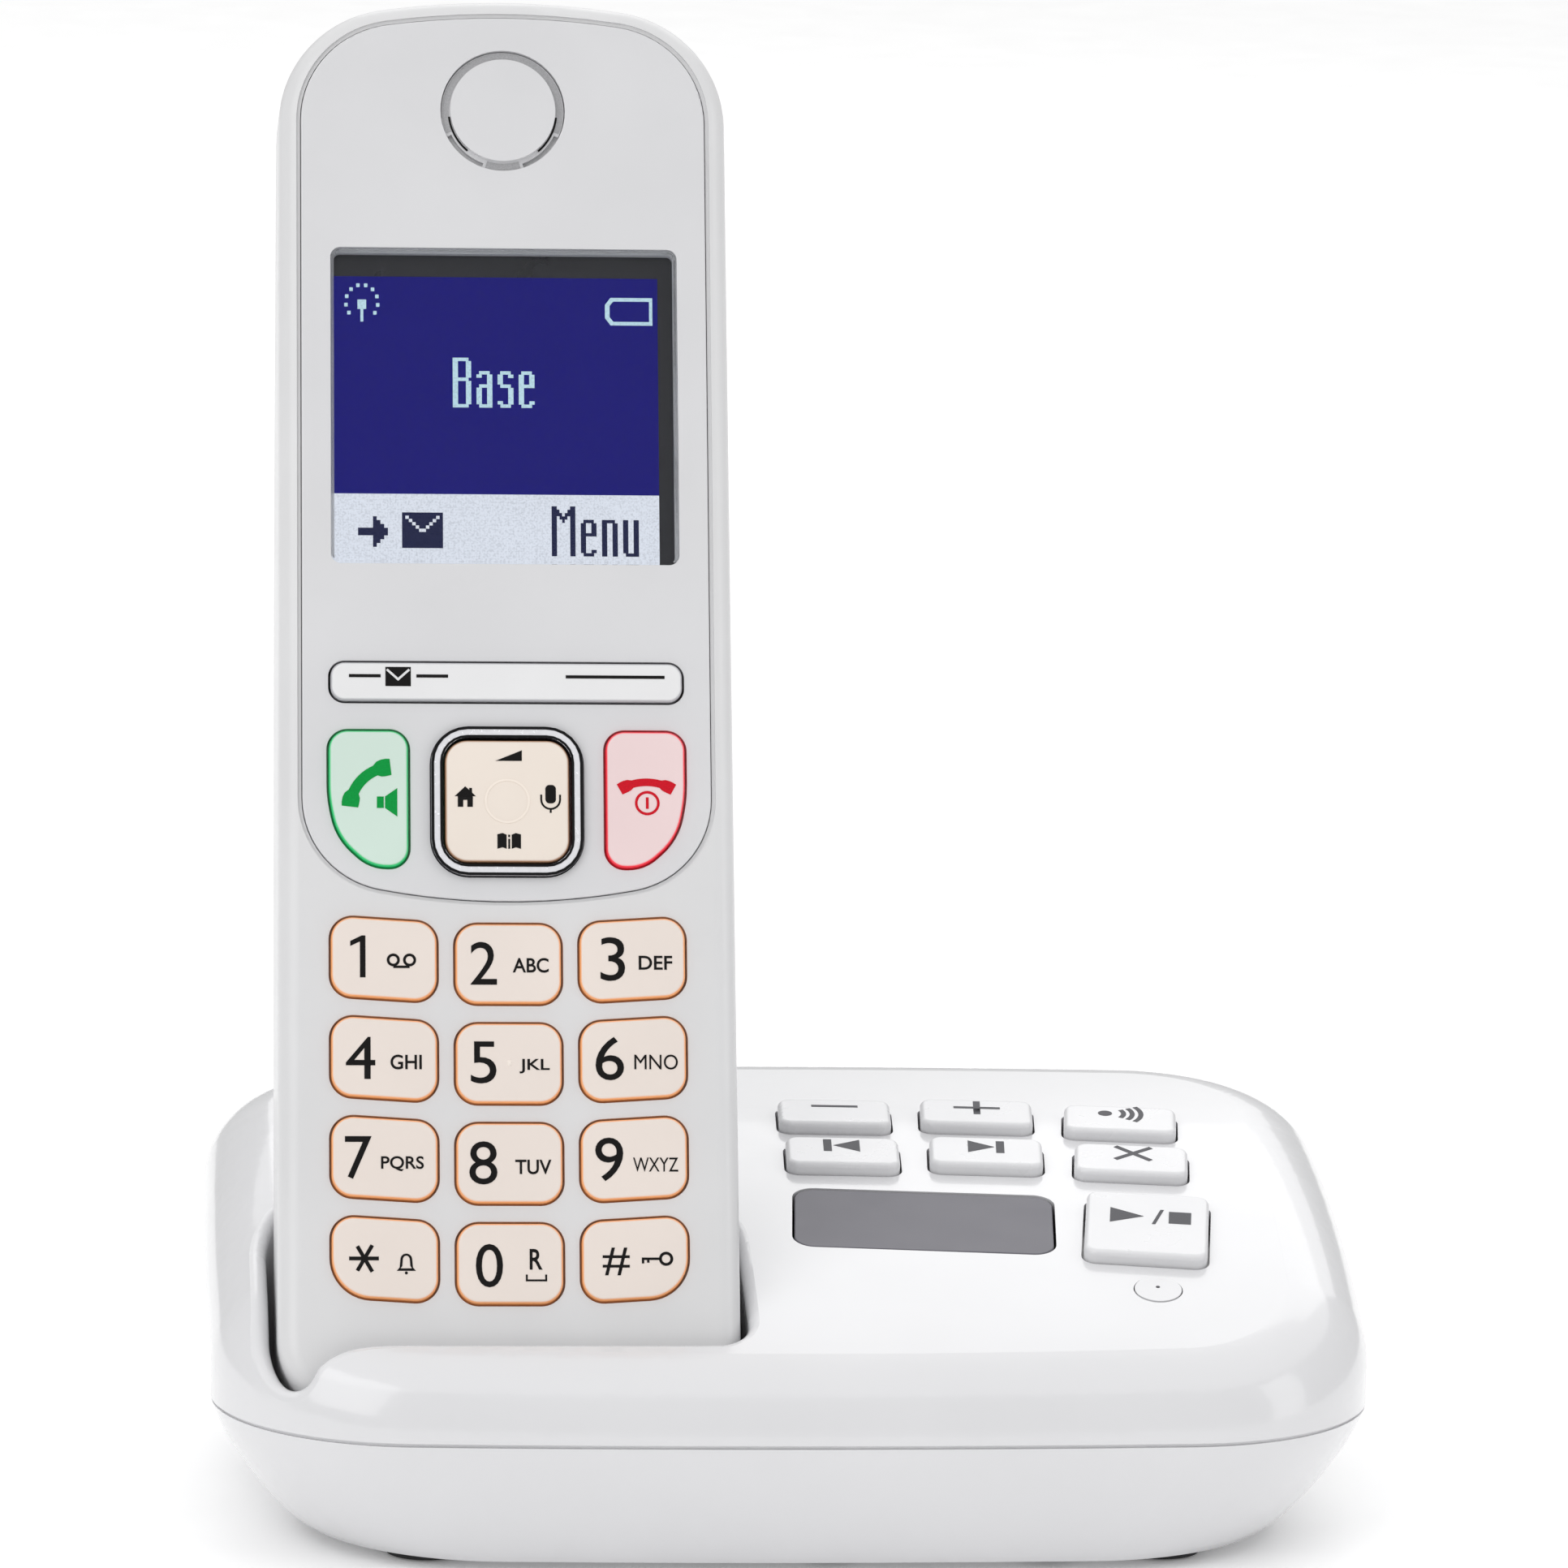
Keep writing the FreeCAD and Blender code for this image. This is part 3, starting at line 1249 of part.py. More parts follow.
def build_feet():
    """Build the four rubber feet and return them with their seats in the floor."""
    floor, recess = size("base_floor_height"), size("foot_recess")
    feet, seats = [], []
    front, back = -size("foot_row_front"), size("foot_row_back")
    for index, (side, row) in enumerate(((-1, front), (1, front), (1, back), (-1, back))):
        centre = (side * size("foot_across"), row)
        foot = cylinder(f"foot_{index}", "foot_radius", "floor_level",
                        "base_floor_height + foot_recess", centre)
        feet.append(foot)
        place = Vector(centre[0], centre[1], floor - recess)
        seats.append(Part.makeCylinder(size("foot_radius") + size("seat_gap"), 2 * recess, place))
    keep(group("feet", feet), "base_feet")
    return feet, feature("foot_seats", Part.makeCompound(seats))


def build_loudspeaker():
    """Build the base's loudspeaker and return the holes of its grille."""
    centre = (size("loudspeaker_across"), size("loudspeaker_row"))
    floor = size("base_floor_height") + size("base_wall")
    can = cylinder("loudspeaker_can", "loudspeaker_radius", "base_floor_height + base_wall",
                   "base_floor_height + base_wall + loudspeaker_height", centre)
    keep(group("loudspeaker", [can]), "base_speaker")
    holes = []
    pitch = 4 * size("loudspeaker_hole")
    for circle in range(4):
        count = max(1, 6 * circle)
        for step in range(count):
            angle = 2 * math.pi * step / count
            place = Vector(centre[0] + circle * pitch * math.cos(angle),
                           centre[1] + circle * pitch * math.sin(angle), 0)
            holes.append(Part.makeCylinder(size("loudspeaker_hole"), floor, place))
    return feature("speaker_grille", Part.makeCompound(holes))


# ---------------------------------------------------------------- assembly

number_holes, panel_holes = build_handset_keys()
nav_holes = build_nav()
handset_outer, handset_cavity = build_front(number_holes, panel_holes, nav_holes)
build_handset_inside()
build_rear(handset_outer, handset_cavity)
build_cells()
deck_holes = build_deck_keys()
deck_holes.append(build_counter())
deck_holes.append(build_charge_contacts())
build_deck_inside()
build_top_shell(deck_holes)
build_bottom_shell()
doc.recompute()

for item in doc.Objects:
    if "Invalid" in item.State or "Error" in item.State:
        raise RuntimeError(f"{item.Name} failed to build: {item.State}")

os.makedirs("parts", exist_ok=True)
for node, item in subparts.items():
    if item.Shape.isNull() or not item.Shape.isValid():
        raise RuntimeError(f"{node} has no valid shape")
    item.Shape.exportStep(f"parts/{node}.step")
print(f"{len(subparts)} sub-parts written")
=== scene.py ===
"""Finishes, printed marks and fine details of a cordless phone standing in its base."""
import json
import logging
import math
from dataclasses import dataclass
from enum import Enum
from typing import Optional, Sequence

import bpy
from mathutils import Matrix, Vector


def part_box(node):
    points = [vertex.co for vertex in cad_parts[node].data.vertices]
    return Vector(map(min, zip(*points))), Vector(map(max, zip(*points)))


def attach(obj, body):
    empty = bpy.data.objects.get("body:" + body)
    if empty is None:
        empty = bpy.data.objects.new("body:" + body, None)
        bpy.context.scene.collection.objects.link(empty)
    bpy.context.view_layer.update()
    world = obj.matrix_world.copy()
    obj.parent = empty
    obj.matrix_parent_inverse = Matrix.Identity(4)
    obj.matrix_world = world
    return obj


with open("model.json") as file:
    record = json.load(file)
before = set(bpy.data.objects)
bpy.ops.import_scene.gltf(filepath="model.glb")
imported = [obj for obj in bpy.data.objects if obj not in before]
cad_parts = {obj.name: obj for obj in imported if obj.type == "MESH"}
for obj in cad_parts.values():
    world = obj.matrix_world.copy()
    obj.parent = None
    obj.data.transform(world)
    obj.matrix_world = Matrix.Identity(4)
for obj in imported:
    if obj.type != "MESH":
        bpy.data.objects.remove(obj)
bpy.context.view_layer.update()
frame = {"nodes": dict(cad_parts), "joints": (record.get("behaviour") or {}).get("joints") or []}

log = logging.getLogger("phone")

MM = 0.001
# the thickness of a printed mark, and of a thin mark of painted shade
MARK_THICKNESS = 0.03  # mm, a printed mark
LAMP_THICKNESS = 0.02  # mm, a lit or darkened dot on the screen
MARK_LIFT = 0.004  # mm, how far a mark stands off the surface that carries it

SCREEN_BLACK = (0.004, 0.004, 0.006, 1.0)  # an unlit screen
NOISE_BAND = (0.3, 0.7)  # the values that most of a noise texture lies between
UP_Z = (0.0, 0.0, 1.0)

Point = tuple[float, float]
Loop = list[Point]
Shape = list[Loop]
Colour = tuple[float, float, float, float]


def paint(red: int, green: int, blue: int) -> Colour:
    """Turns a swatch, 0 to 255 a channel, into the linear colour a shader takes."""
    channels = [(c / 255 / 12.92) if c < 11 else ((c / 255 + 0.055) / 1.055) ** 2.4
                for c in (red, green, blue)]
    return (channels[0], channels[1], channels[2], 1.0)


def shaded(colour: Colour, factor: float) -> Colour:
    """Gives a lighter or darker neighbour of a colour."""
    return (*(min(1.0, c * factor) for c in colour[:3]), 1.0)


# ---------------------------------------------------------------- working planes

@dataclass(frozen=True)
class Seat:
    """A flat working plane on the object, where things are drawn in millimetres.

    Args:
        origin: where the plane's own zero is, in metres.
        right: unit direction of its x.
        up: unit direction of its y.
    """

    origin: Vector
    right: Vector
    up: Vector

    @property
    def out(self) -> Vector:
        """The direction that the plane faces."""
        return self.right.cross(self.up)

    def matrix(self, scale: float = MM) -> Matrix:
        """Gives the matrix that carries drawing units on the plane into the row frame."""
        turn = Matrix((self.right, self.up, self.out)).transposed().to_4x4()
        return Matrix.Translation(self.origin) @ turn @ Matrix.Scale(scale, 4)

    def span(self, node: str) -> tuple[Vector, Vector]:
        """Measures a CAD node along the plane's own directions.

        Args:
            node: the node's name.

        Returns:
            Its lowest and highest corners, in millimetres on this plane.
        """
        back = self.matrix().inverted()
        places = [back @ v.co for v in frame["nodes"][node].data.vertices]
        return (Vector([min(p[i] for p in places) for i in range(3)]),
                Vector([max(p[i] for p in places) for i in range(3)]))

    def moved(self, x: float = 0.0, y: float = 0.0, z: float = 0.0) -> "Seat":
        """Gives the same plane with its zero moved, in millimetres along its own directions."""
        shift = (self.right * x + self.up * y + self.out * z) * MM
        return Seat(self.origin + shift, self.right, self.up)

    def top_of(self, node: str) -> "Seat":
        """Gives the plane that lies on a node's outer face, centred on the node."""
        low, high = self.span(node)
        return self.moved((low.x + high.x) / 2, (low.y + high.y) / 2, high.z)


def joint(name: str) -> dict:
    """Finds one of the model's joints by name."""
    return next(j for j in frame["joints"] if j["name"] == name)


def handset_seat() -> Seat:
    """Finds the plane of the handset's face: zero is at its lower end, in the middle."""
    up = Vector(joint("handset_lift")["axis"]).normalized()
    loose = Seat(Vector(), Vector((1, 0, 0)), up)
    low, high = loose.span("handset_front_shell")
    return loose.moved((low.x + high.x) / 2, low.y, high.z)


def deck_seat(node: str, turn: float) -> Seat:
    """Finds the plane on top of one of the base's keys.

    Args:
        node: the key.
        turn: how far the key is turned about the way it faces, in degrees.

    Returns:
        The plane on the key's top, centred on the key.
    """
    out = -Vector(joint(f"{node}_press")["axis"]).normalized()
    up = out.cross(Vector((1, 0, 0))).normalized()
    spin = Matrix.Rotation(math.radians(turn), 3, out)
    right = spin @ up.cross(out)
    return Seat(Vector(), right, spin @ up).top_of(node)


# ---------------------------------------------------------------- materials

class Recipe:
    """One material's node tree, put together a step at a time."""

    def __init__(self, name: str) -> None:
        """Starts a material with its shader and its Object coordinates."""
        self.material = bpy.data.materials.new(name)
        self.material.use_nodes = True
        self.tree = self.material.node_tree
        self.shader = self.tree.nodes["Principled BSDF"]
        self.space = self.tree.nodes.new("ShaderNodeTexCoord")

    def set(self, **values: object) -> "Recipe":
        """Sets the shader's own sockets, underscores standing for spaces."""
        for key, value in values.items():
            self.shader.inputs[key.replace("_", " ")].default_value = value
        return self

    def drive(self, socket: str, source: bpy.types.NodeSocket) -> None:
        """Leads a value that varies over the surface into one of the shader's sockets."""
        self.tree.links.new(source, self.shader.inputs[socket])

    def node(self, kind: str, inputs: dict, **settings: object) -> bpy.types.Node:
        """Adds a node.

        Args:
            kind: the node's type.
            inputs: what each input takes, either another node's output or a value.
            settings: the node's own settings.

        Returns:
            The node.
        """
        made = self.tree.nodes.new(kind)
        for key, value in settings.items():
            setattr(made, key, value)
        for key, value in inputs.items():
            if isinstance(value, bpy.types.NodeSocket):
                self.tree.links.new(value, made.inputs[key])
            else:
                made.inputs[key].default_value = value
        return made

    def stretched(self, stretch: Sequence[float]) -> bpy.types.NodeSocket:
        """Gives Object coordinates, longer or shorter along each axis."""
        mapping = self.node("ShaderNodeMapping",
                            {"Vector": self.space.outputs["Object"], "Scale": stretch})
        return mapping.outputs["Vector"]

    def noise(self, size: float, detail: float = 2.0,
              stretch: Optional[Sequence[float]] = None) -> bpy.types.NodeSocket:
        """Gives soft noise whose spots are about that size in millimetres."""
        place = self.stretched(stretch) if stretch else self.space.outputs["Object"]
        made = self.node("ShaderNodeTexNoise",
                         {"Vector": place, "Scale": 1 / (size * MM), "Detail": detail})
        return made.outputs["Fac"]

    def ramp(self, source: bpy.types.NodeSocket, low: Colour, high: Colour) -> bpy.types.NodeSocket:
        """Turns a noise into a colour between two."""
        made = self.node("ShaderNodeValToRGB", {"Fac": source})
        for element, place, colour in zip(made.color_ramp.elements, NOISE_BAND, (low, high)):
            element.position, element.color = place, colour
        return made.outputs["Color"]

    def between(self, source: bpy.types.NodeSocket, start: float, end: float,
                low: float, high: float) -> bpy.types.NodeSocket:
        """Maps a value from one range to another, and holds it there."""
        made = self.node("ShaderNodeMapRange", {"Value": source, "From Min": start,
                                                "From Max": end, "To Min": low, "To Max": high})
        return made.outputs["Result"]

    def wear(self, source: bpy.types.NodeSocket, low: float, high: float) -> None:
        """Lets a noise move the roughness between two values."""
        self.drive("Roughness", self.between(source, *NOISE_BAND, low, high))

    def maths(self, operation: str, first: object, second: object = 0.0) -> bpy.types.NodeSocket:
        """Does one sum with values or other nodes' outputs."""
        made = self.node("ShaderNodeMath", {0: first, 1: second}, operation=operation)
        return made.outputs[0]

    def mix(self, factor: bpy.types.NodeSocket, first: object,
            second: object) -> bpy.types.NodeSocket:
        """Mixes two colours by a factor."""
        made = self.node("ShaderNodeMix", {}, data_type="RGBA")
        self.tree.links.new(factor, made.inputs[0])
        for place, value in ((6, first), (7, second)):
            if isinstance(value, bpy.types.NodeSocket):
                self.tree.links.new(value, made.inputs[place])
            else:
                made.inputs[place].default_value = value
        return made.outputs[2]

    def along(self, output: str, axis: Sequence[float]) -> bpy.types.NodeSocket:
        """Measures a coordinate output, such as Object or Normal, along an axis."""
        made = self.node("ShaderNodeVectorMath",
                         {0: self.space.outputs[output], 1: tuple(axis)}, operation="DOT_PRODUCT")
        return made.outputs["Value"]

    def bump(self, height: bpy.types.NodeSocket, depth: float) -> None:
        """Gives the surface a relief of that depth in millimetres."""
        made = self.node("ShaderNodeBump", {"Height": height, "Distance": depth * MM})
        self.drive("Normal", made.outputs["Normal"])


@dataclass(frozen=True)
class Moulded:
    """Injection-moulded plastic or rubber.

    Args:
        name: the material's name.
        colour: its colour.
        roughness: its mean roughness.
        grain: the size of its spark-eroded grain, in millimetres.
        depth: how deep the grain is, in millimetres.
        coat: how much clear lacquer it has.
        mottle: how much its colour varies from place to place.
        flank: the colour painted on the faces that turn away from `facing`, if they differ: painted
            shade on some keys' sides, a light guide's colour on others.
        facing: the direction that its printed face looks.
        steep: the cosines between which the flank's colour takes over.
        shine: how much light its skin reflects, 0.5 for common plastics.
        glow: how strongly its flank shines, a painted glow, or all of it when it has no flank
            colour.
    """

    name: str
    colour: Colour
    roughness: float = 0.35
    grain: float = 0.35
    depth: float = 0.002
    coat: float = 0.0
    mottle: float = 0.02
    flank: Optional[Colour] = None
    facing: tuple[float, float, float] = UP_Z
    steep: tuple[float, float] = (0.72, 0.985)
    shine: float = 0.5
    glow: float = 0.0

    def make(self) -> bpy.types.Material:
        """Builds the material."""
        recipe = Recipe(self.name)
        colour = recipe.ramp(recipe.noise(16.0, 3.0), shaded(self.colour, 1 - self.mottle),
                             shaded(self.colour, 1 + self.mottle))
        # the flank colour is painted by the way a face points, and its glow is painted light
        if self.flank:
            factor = recipe.between(recipe.along("Normal", self.facing), *self.steep, 0.0, 1.0)
            colour = recipe.mix(factor, self.flank, colour)
            recipe.drive("Emission Strength", recipe.between(factor, 0.0, 1.0, self.glow, 0.0))
        recipe.set(Emission_Color=self.flank or self.colour, Emission_Strength=self.glow)
        recipe.drive("Base Color", colour)
        recipe.wear(recipe.noise(5.0, 5.0), self.roughness - 0.03, self.roughness + 0.05)
        recipe.bump(recipe.noise(self.grain, 1.5), self.depth)
        recipe.set(Coat_Weight=self.coat, Coat_Roughness=0.06, Specular_IOR_Level=self.shine)
        return recipe.material


@dataclass(frozen=True)
class Plated:
    """Bare or plated metal.

    Args:
        name: the material's name.
        colour: its colour where it faces along `facing`.
        flank: the colour painted where it turns away, a painted dark reflection.
        roughness: its mean roughness.
        brushed: how far its grain is drawn out along X.
        facing: the direction that its face looks.
        metal: how metallic it is, less than 1 where its pale colour is a painted bright reflection.
    """

    name: str
    colour: Colour
    flank: Optional[Colour] = None
    roughness: float = 0.2
    brushed: float = 1.0
    facing: tuple[float, float, float] = UP_Z
    metal: float = 1.0

    def make(self) -> bpy.types.Material:
        """Builds the material."""
        recipe = Recipe(self.name)
        streaks = recipe.noise(0.5, 3.0, (1 / self.brushed, 1.0, 1.0))
        colour = recipe.ramp(streaks, shaded(self.colour, 0.93), self.colour)
        # the flank colour is painted by the way a face points: a painted dark reflection
        if self.flank:
            factor = recipe.between(recipe.along("Normal", self.facing), 0.35, 0.9, 0.0, 1.0)
            colour = recipe.mix(factor, self.flank, colour)
        recipe.drive("Base Color", colour)
        recipe.wear(streaks, self.roughness * 0.8, self.roughness * 1.3)
        recipe.bump(streaks, 0.0008)
        recipe.set(Metallic=self.metal)
        return recipe.material


@dataclass(frozen=True)
class Clear:
    """A clear or smoked window.

    Args:
        name: the material's name.
        colour: its tint.
        through: how much light goes through.
        roughness: its roughness.
        index: its refractive index, low for a window with an antireflective coat.
    """

    name: str
    colour: Colour
    through: float = 1.0
    roughness: float = 0.02
    index: float = 1.2

    def make(self) -> bpy.types.Material:
        """Builds the material."""
        recipe = Recipe(self.name)
        haze = recipe.noise(6.0, 3.0)
        recipe.wear(haze, self.roughness, self.roughness + 0.015)
        recipe.drive("Base Color", recipe.ramp(haze, shaded(self.colour, 0.98), self.colour))
        recipe.set(Transmission_Weight=self.through, IOR=self.index)
        return recipe.material


@dataclass(frozen=True)
class Backlit:
    """The lit surface of a small dot-matrix screen.

    Args:
        name: the material's name.
        colour: the colour that it shines in.
        glow: how strongly it shines.
        up: the direction up the screen.
        pitch: the width of its dots, in millimetres.
        grid: how much darker the lines between the dots are.
    """

    name: str
    colour: Colour
    glow: float
    up: tuple[float, float, float]
    pitch: float = 0.28
    grid: float = 0.12

    def make(self) -> bpy.types.Material:
        """Builds the material."""
        recipe = Recipe(self.name)
        rate = 2 * math.pi / (self.pitch * MM)
        lines = []
        for axis in ((1.0, 0.0, 0.0), self.up):
            angle = recipe.maths("MULTIPLY", recipe.along("Object", axis), rate)
            wave = recipe.maths("SINE", angle)
            lines.append(recipe.between(wave, 0.7, 1.0, 1.0, 1.0 - self.grid))
        speckle = recipe.between(recipe.noise(0.22, 2.0), *NOISE_BAND, 0.8, 1.12)
        light = recipe.maths("MULTIPLY", recipe.maths("MULTIPLY", *lines), speckle)
        recipe.drive("Emission Color", recipe.mix(light, (0.0, 0.0, 0.0, 1.0), self.colour))
        recipe.set(Emission_Strength=self.glow, Roughness=0.6, Specular_IOR_Level=0.0,
                   Base_Color=SCREEN_BLACK)
        return recipe.material


@dataclass(frozen=True)
class Banded:
    """A sleeve whose colour changes in bands along one axis, as on a battery cell.

    Args:
        name: the material's name.
        axis: the direction of the bands' axis.
        start: where the first band begins along the axis, in metres.
        length: the whole length, in metres.
        bands: each band's end, as a share of the length, with its colour.
        metal_ends: the share at each end that is bare metal.
    """

    name: str
    axis: tuple[float, float, float]
    start: float
    length: float
    bands: tuple[tuple[float, Colour], ...]
    metal_ends: float = 0.035

    def make(self) -> bpy.types.Material:
        """Builds the material."""
        recipe = Recipe(self.name)
        place = recipe.between(recipe.along("Object", self.axis), self.start,
                               self.start + self.length, 0.0, 1.0)
        made = recipe.node("ShaderNodeValToRGB", {"Fac": place})
        made.color_ramp.interpolation = "CONSTANT"
        for _ in self.bands[2:]:
            made.color_ramp.elements.new(0.5)
        edge = 0.0
        for element, (end, colour) in zip(made.color_ramp.elements, self.bands):
            element.position, element.color = edge, colour
            edge = end
        wrinkle = recipe.noise(2.5, 4.0)
        recipe.drive("Base Color", made.outputs["Color"])
        reach = recipe.maths("ABSOLUTE", recipe.maths("SUBTRACT", place, 0.5))
        recipe.drive("Metallic", recipe.between(reach, 0.499 - self.metal_ends,
                                                0.5 - self.metal_ends, 0.0, 1.0))
        recipe.wear(wrinkle, 0.22, 0.38)
        recipe.bump(wrinkle, 0.01)
        return recipe.material


@dataclass(frozen=True)
class Circuit:
    """Solder mask with copper runs under it.

    Args:
        name: the material's name.
        mask: the colour of the mask.
        track: the colour over copper.
    """

    name: str
    mask: Colour
    track: Colour

    def make(self) -> bpy.types.Material:
        """Builds the material."""
        recipe = Recipe(self.name)
        cells = recipe.node("ShaderNodeTexVoronoi",
                            {"Vector": recipe.space.outputs["Object"], "Scale": 260.0},
                            feature="DISTANCE_TO_EDGE")
        runs = recipe.between(cells.outputs["Distance"], 0.04, 0.08, 1.0, 0.0)
        recipe.drive("Base Color", recipe.mix(runs, self.mask, self.track))
        recipe.bump(runs, 0.03)
        recipe.wear(recipe.noise(1.0, 3.0), 0.28, 0.42)
        return recipe.material


@dataclass(frozen=True)
class InkAndPaintedLight:
    """Screen-printed ink, and the thin marks of painted shade, shadow and reflection.

    Args:
        name: the material's name.
        colour: its colour.
    """

    name: str
    colour: Colour

    def make(self) -> bpy.types.Material:
        """Builds the material."""
        recipe = Recipe(self.name)
        speckle = recipe.noise(0.12, 2.0)
        recipe.drive("Base Color", recipe.ramp(speckle, shaded(self.colour, 0.85),
                                               shaded(self.colour, 1.1)))
        recipe.wear(speckle, 0.45, 0.6)
        recipe.bump(speckle, 0.001)
        recipe.set(Specular_IOR_Level=0.15)
        return recipe.material


# ---------------------------------------------------------------- flat shapes

def box_loop(left: float, low: float, right: float, high: float) -> Loop:
    """Gives a rectangle's outline."""
    return [(left, low), (right, low), (right, high), (left, high)]


def arc_loop(centre: Point, radius: float, start: float = 0.0, end: float = 360.0,
             steps: int = 28) -> Loop:
    """Gives points along an arc, or round a whole circle without its repeated end."""
    turns = steps if abs(end - start) < 360 else steps + 1
    angles = [math.radians(start + (end - start) * i / turns) for i in range(steps + 1)]
    return [(centre[0] + radius * math.cos(a), centre[1] + radius * math.sin(a)) for a in angles]


def round_box(width: float, height: float, corner: float, centre: Point = (0.0, 0.0)) -> Loop:
    """Gives a rectangle's outline with round corners."""
    x, y = width / 2 - corner, height / 2 - corner
    loop: Loop = []
    for sign_x, sign_y, start in ((1, 1, 0), (-1, 1, 90), (-1, -1, 180), (1, -1, 270)):
        corner_at = (centre[0] + sign_x * x, centre[1] + sign_y * y)
        loop += arc_loop(corner_at, corner, start, start + 90, 6)
    return loop


def stroke(path: Sequence[Point], widths: float | Sequence[float]) -> Loop:
    """Gives the outline of a pen stroke.

    Args:
        path: the points that the pen goes through.
        widths: the stroke's width, one for all or one for each point.

    Returns:
        The outline, down one side and back up the other.
    """
    each = [widths] * len(path) if isinstance(widths, (int, float)) else list(widths)
    left, right = [], []
    for i, (x, y) in enumerate(path):
        before, after = path[max(i - 1, 0)], path[min(i + 1, len(path) - 1)]
        run = Vector((after[0] - before[0], after[1] - before[1])).normalized()
        if 0 < i < len(path) - 1:
            first = Vector((x - before[0], y - before[1])).normalized()
            sharp = max(0.4, abs(run.dot(first)))
        else:
            sharp = 1.0
        half = each[i] / 2 / sharp
        left.append((x - run.y * half, y + run.x * half))
        right.append((x + run.y * half, y - run.x * half))
    return left + right[::-1]


def ring_shape(centre: Point, radius: float, width: float) -> Shape:
    """Gives a ring of that middle radius."""
    return [arc_loop(centre, radius + width / 2), arc_loop(centre, radius - width / 2)]


def star_shape(arms: Sequence[float], lengths: Sequence[float], width: float) -> Shape:
    """Gives crossed bars, such as a plus sign, as one outline.

    Args:
        arms: the angle of each arm, in degrees, going round.
        lengths: the length of each arm.
        width: the width of the arms.

    Returns:
        The outline.
    """
    loop: Loop = []
    half = width / 2
    for i, (angle, length) in enumerate(zip(arms, lengths)):
        following = arms[(i + 1) % len(arms)] + (360 if i == len(arms) - 1 else 0)
        along = Vector((math.cos(math.radians(angle)), math.sin(math.radians(angle))))
        across = Vector((-along.y, along.x))
        loop += [tuple(along * length - across * half), tuple(along * length + across * half)]
        gap = math.radians(following - angle) / 2
        middle = math.radians(angle) + gap
        reach = half / math.sin(gap)
        loop.append((reach * math.cos(middle), reach * math.sin(middle)))
    return [loop]


def dot_shapes(rows: Sequence[str], pitch: Point) -> list[Shape]:
    """Turns rows of dots into rectangles, from their lower left corner.

    Args:
        rows: one string for each row from the top, with # for a dot that is on.
        pitch: the width and height of a dot.

    Returns:
        One rectangle for each run of dots.
    """
    shapes: list[Shape] = []
    running: dict[tuple[int, int], int] = {}
    for number, row in enumerate([*rows, ""]):
        runs = set()
        start = None
        for column, dot in enumerate(row + "."):
            if dot == "#" and start is None:
                start = column
            elif dot != "#" and start is not None:
                runs.add((start, column))
                start = None
        for run in [r for r in running if r not in runs]:
            top = running.pop(run)
            shapes.append([box_loop(run[0] * pitch[0], (len(rows) - number) * pitch[1],
                                    run[1] * pitch[0], (len(rows) - top) * pitch[1])])
        for run in runs:
            running.setdefault(run, number)
    return shapes


def shifted(shapes: Sequence[Shape], x: float, y: float) -> list[Shape]:
    """Moves shapes."""
    return [[[(p[0] + x, p[1] + y) for p in loop] for loop in shape] for shape in shapes]


class Icon(Enum):
    """The small pictures that are printed on keys."""

    ENVELOPE = "envelope"
    WEDGE = "wedge"
    FIGURE_ONE = "figure_one"
    HOUSE = "house"
    MICROPHONE = "microphone"
    BOOK = "book"
    CALL = "call"
    SPEAKER = "speaker"
    HANG_UP = "hang_up"
    POWER = "power"
    VOICEMAIL = "voicemail"
    BELL = "bell"
    SPACE = "space"
    LOCK_KEY = "lock_key"
    ASTERISK = "asterisk"
    MINUS = "minus"
    PLUS = "plus"
    PAGING = "paging"
    PREVIOUS = "previous"
    NEXT = "next"
    DELETE = "delete"
    PLAY_STOP = "play_stop"


def mirrored(loop: Sequence[Point]) -> Loop:
    """Gives the loop's mirror image across its own middle."""
    return [(-x, y) for x, y in reversed(loop)]


def receiver(centre: Point, radius: float, span: Point, end: Sequence[float],
             grip: float) -> Shape:
    """Draws a telephone receiver as a thick arc with two fat ends.

    Args:
        centre: the arc's centre.
        radius: its radius.
        span: the angles that it starts and ends at.
        end: how wide it is at its first points, from the tip inward.
        grip: how wide its middle is.

    Returns:
        The receiver.
    """
    return [stroke(arc_loop(centre, radius, *span, 16), [*end, *[grip] * 9, *reversed(end)])]


def bell() -> list[Shape]:
    """Draws a bell as an outline with its clapper."""
    side = [(1.0, -0.86), (0.7, -0.5), (0.62, 0.35)]
    outline = side + arc_loop((0, 0.35), 0.62, 0, 180, 12)[1:] + mirrored(side[:-1])
    inside = [(x * 0.6, -0.6 + (y + 0.86) * 0.74) for x, y in outline]
    return [[outline + [(0.0, -0.86)], inside], [arc_loop((0, -1.08), 0.16, steps=12)]]


def skip(side: float) -> list[Shape]:
    """Draws a triangle against a bar, pointing to one side."""
    bar = [(side * x, y) for x, y in box_loop(1.08, -1.6, 1.98, 1.6)]
    return [[bar], [[(side * -1.98, -1.6), (side * 0.9, 0.0), (side * -1.98, 1.6)]]]


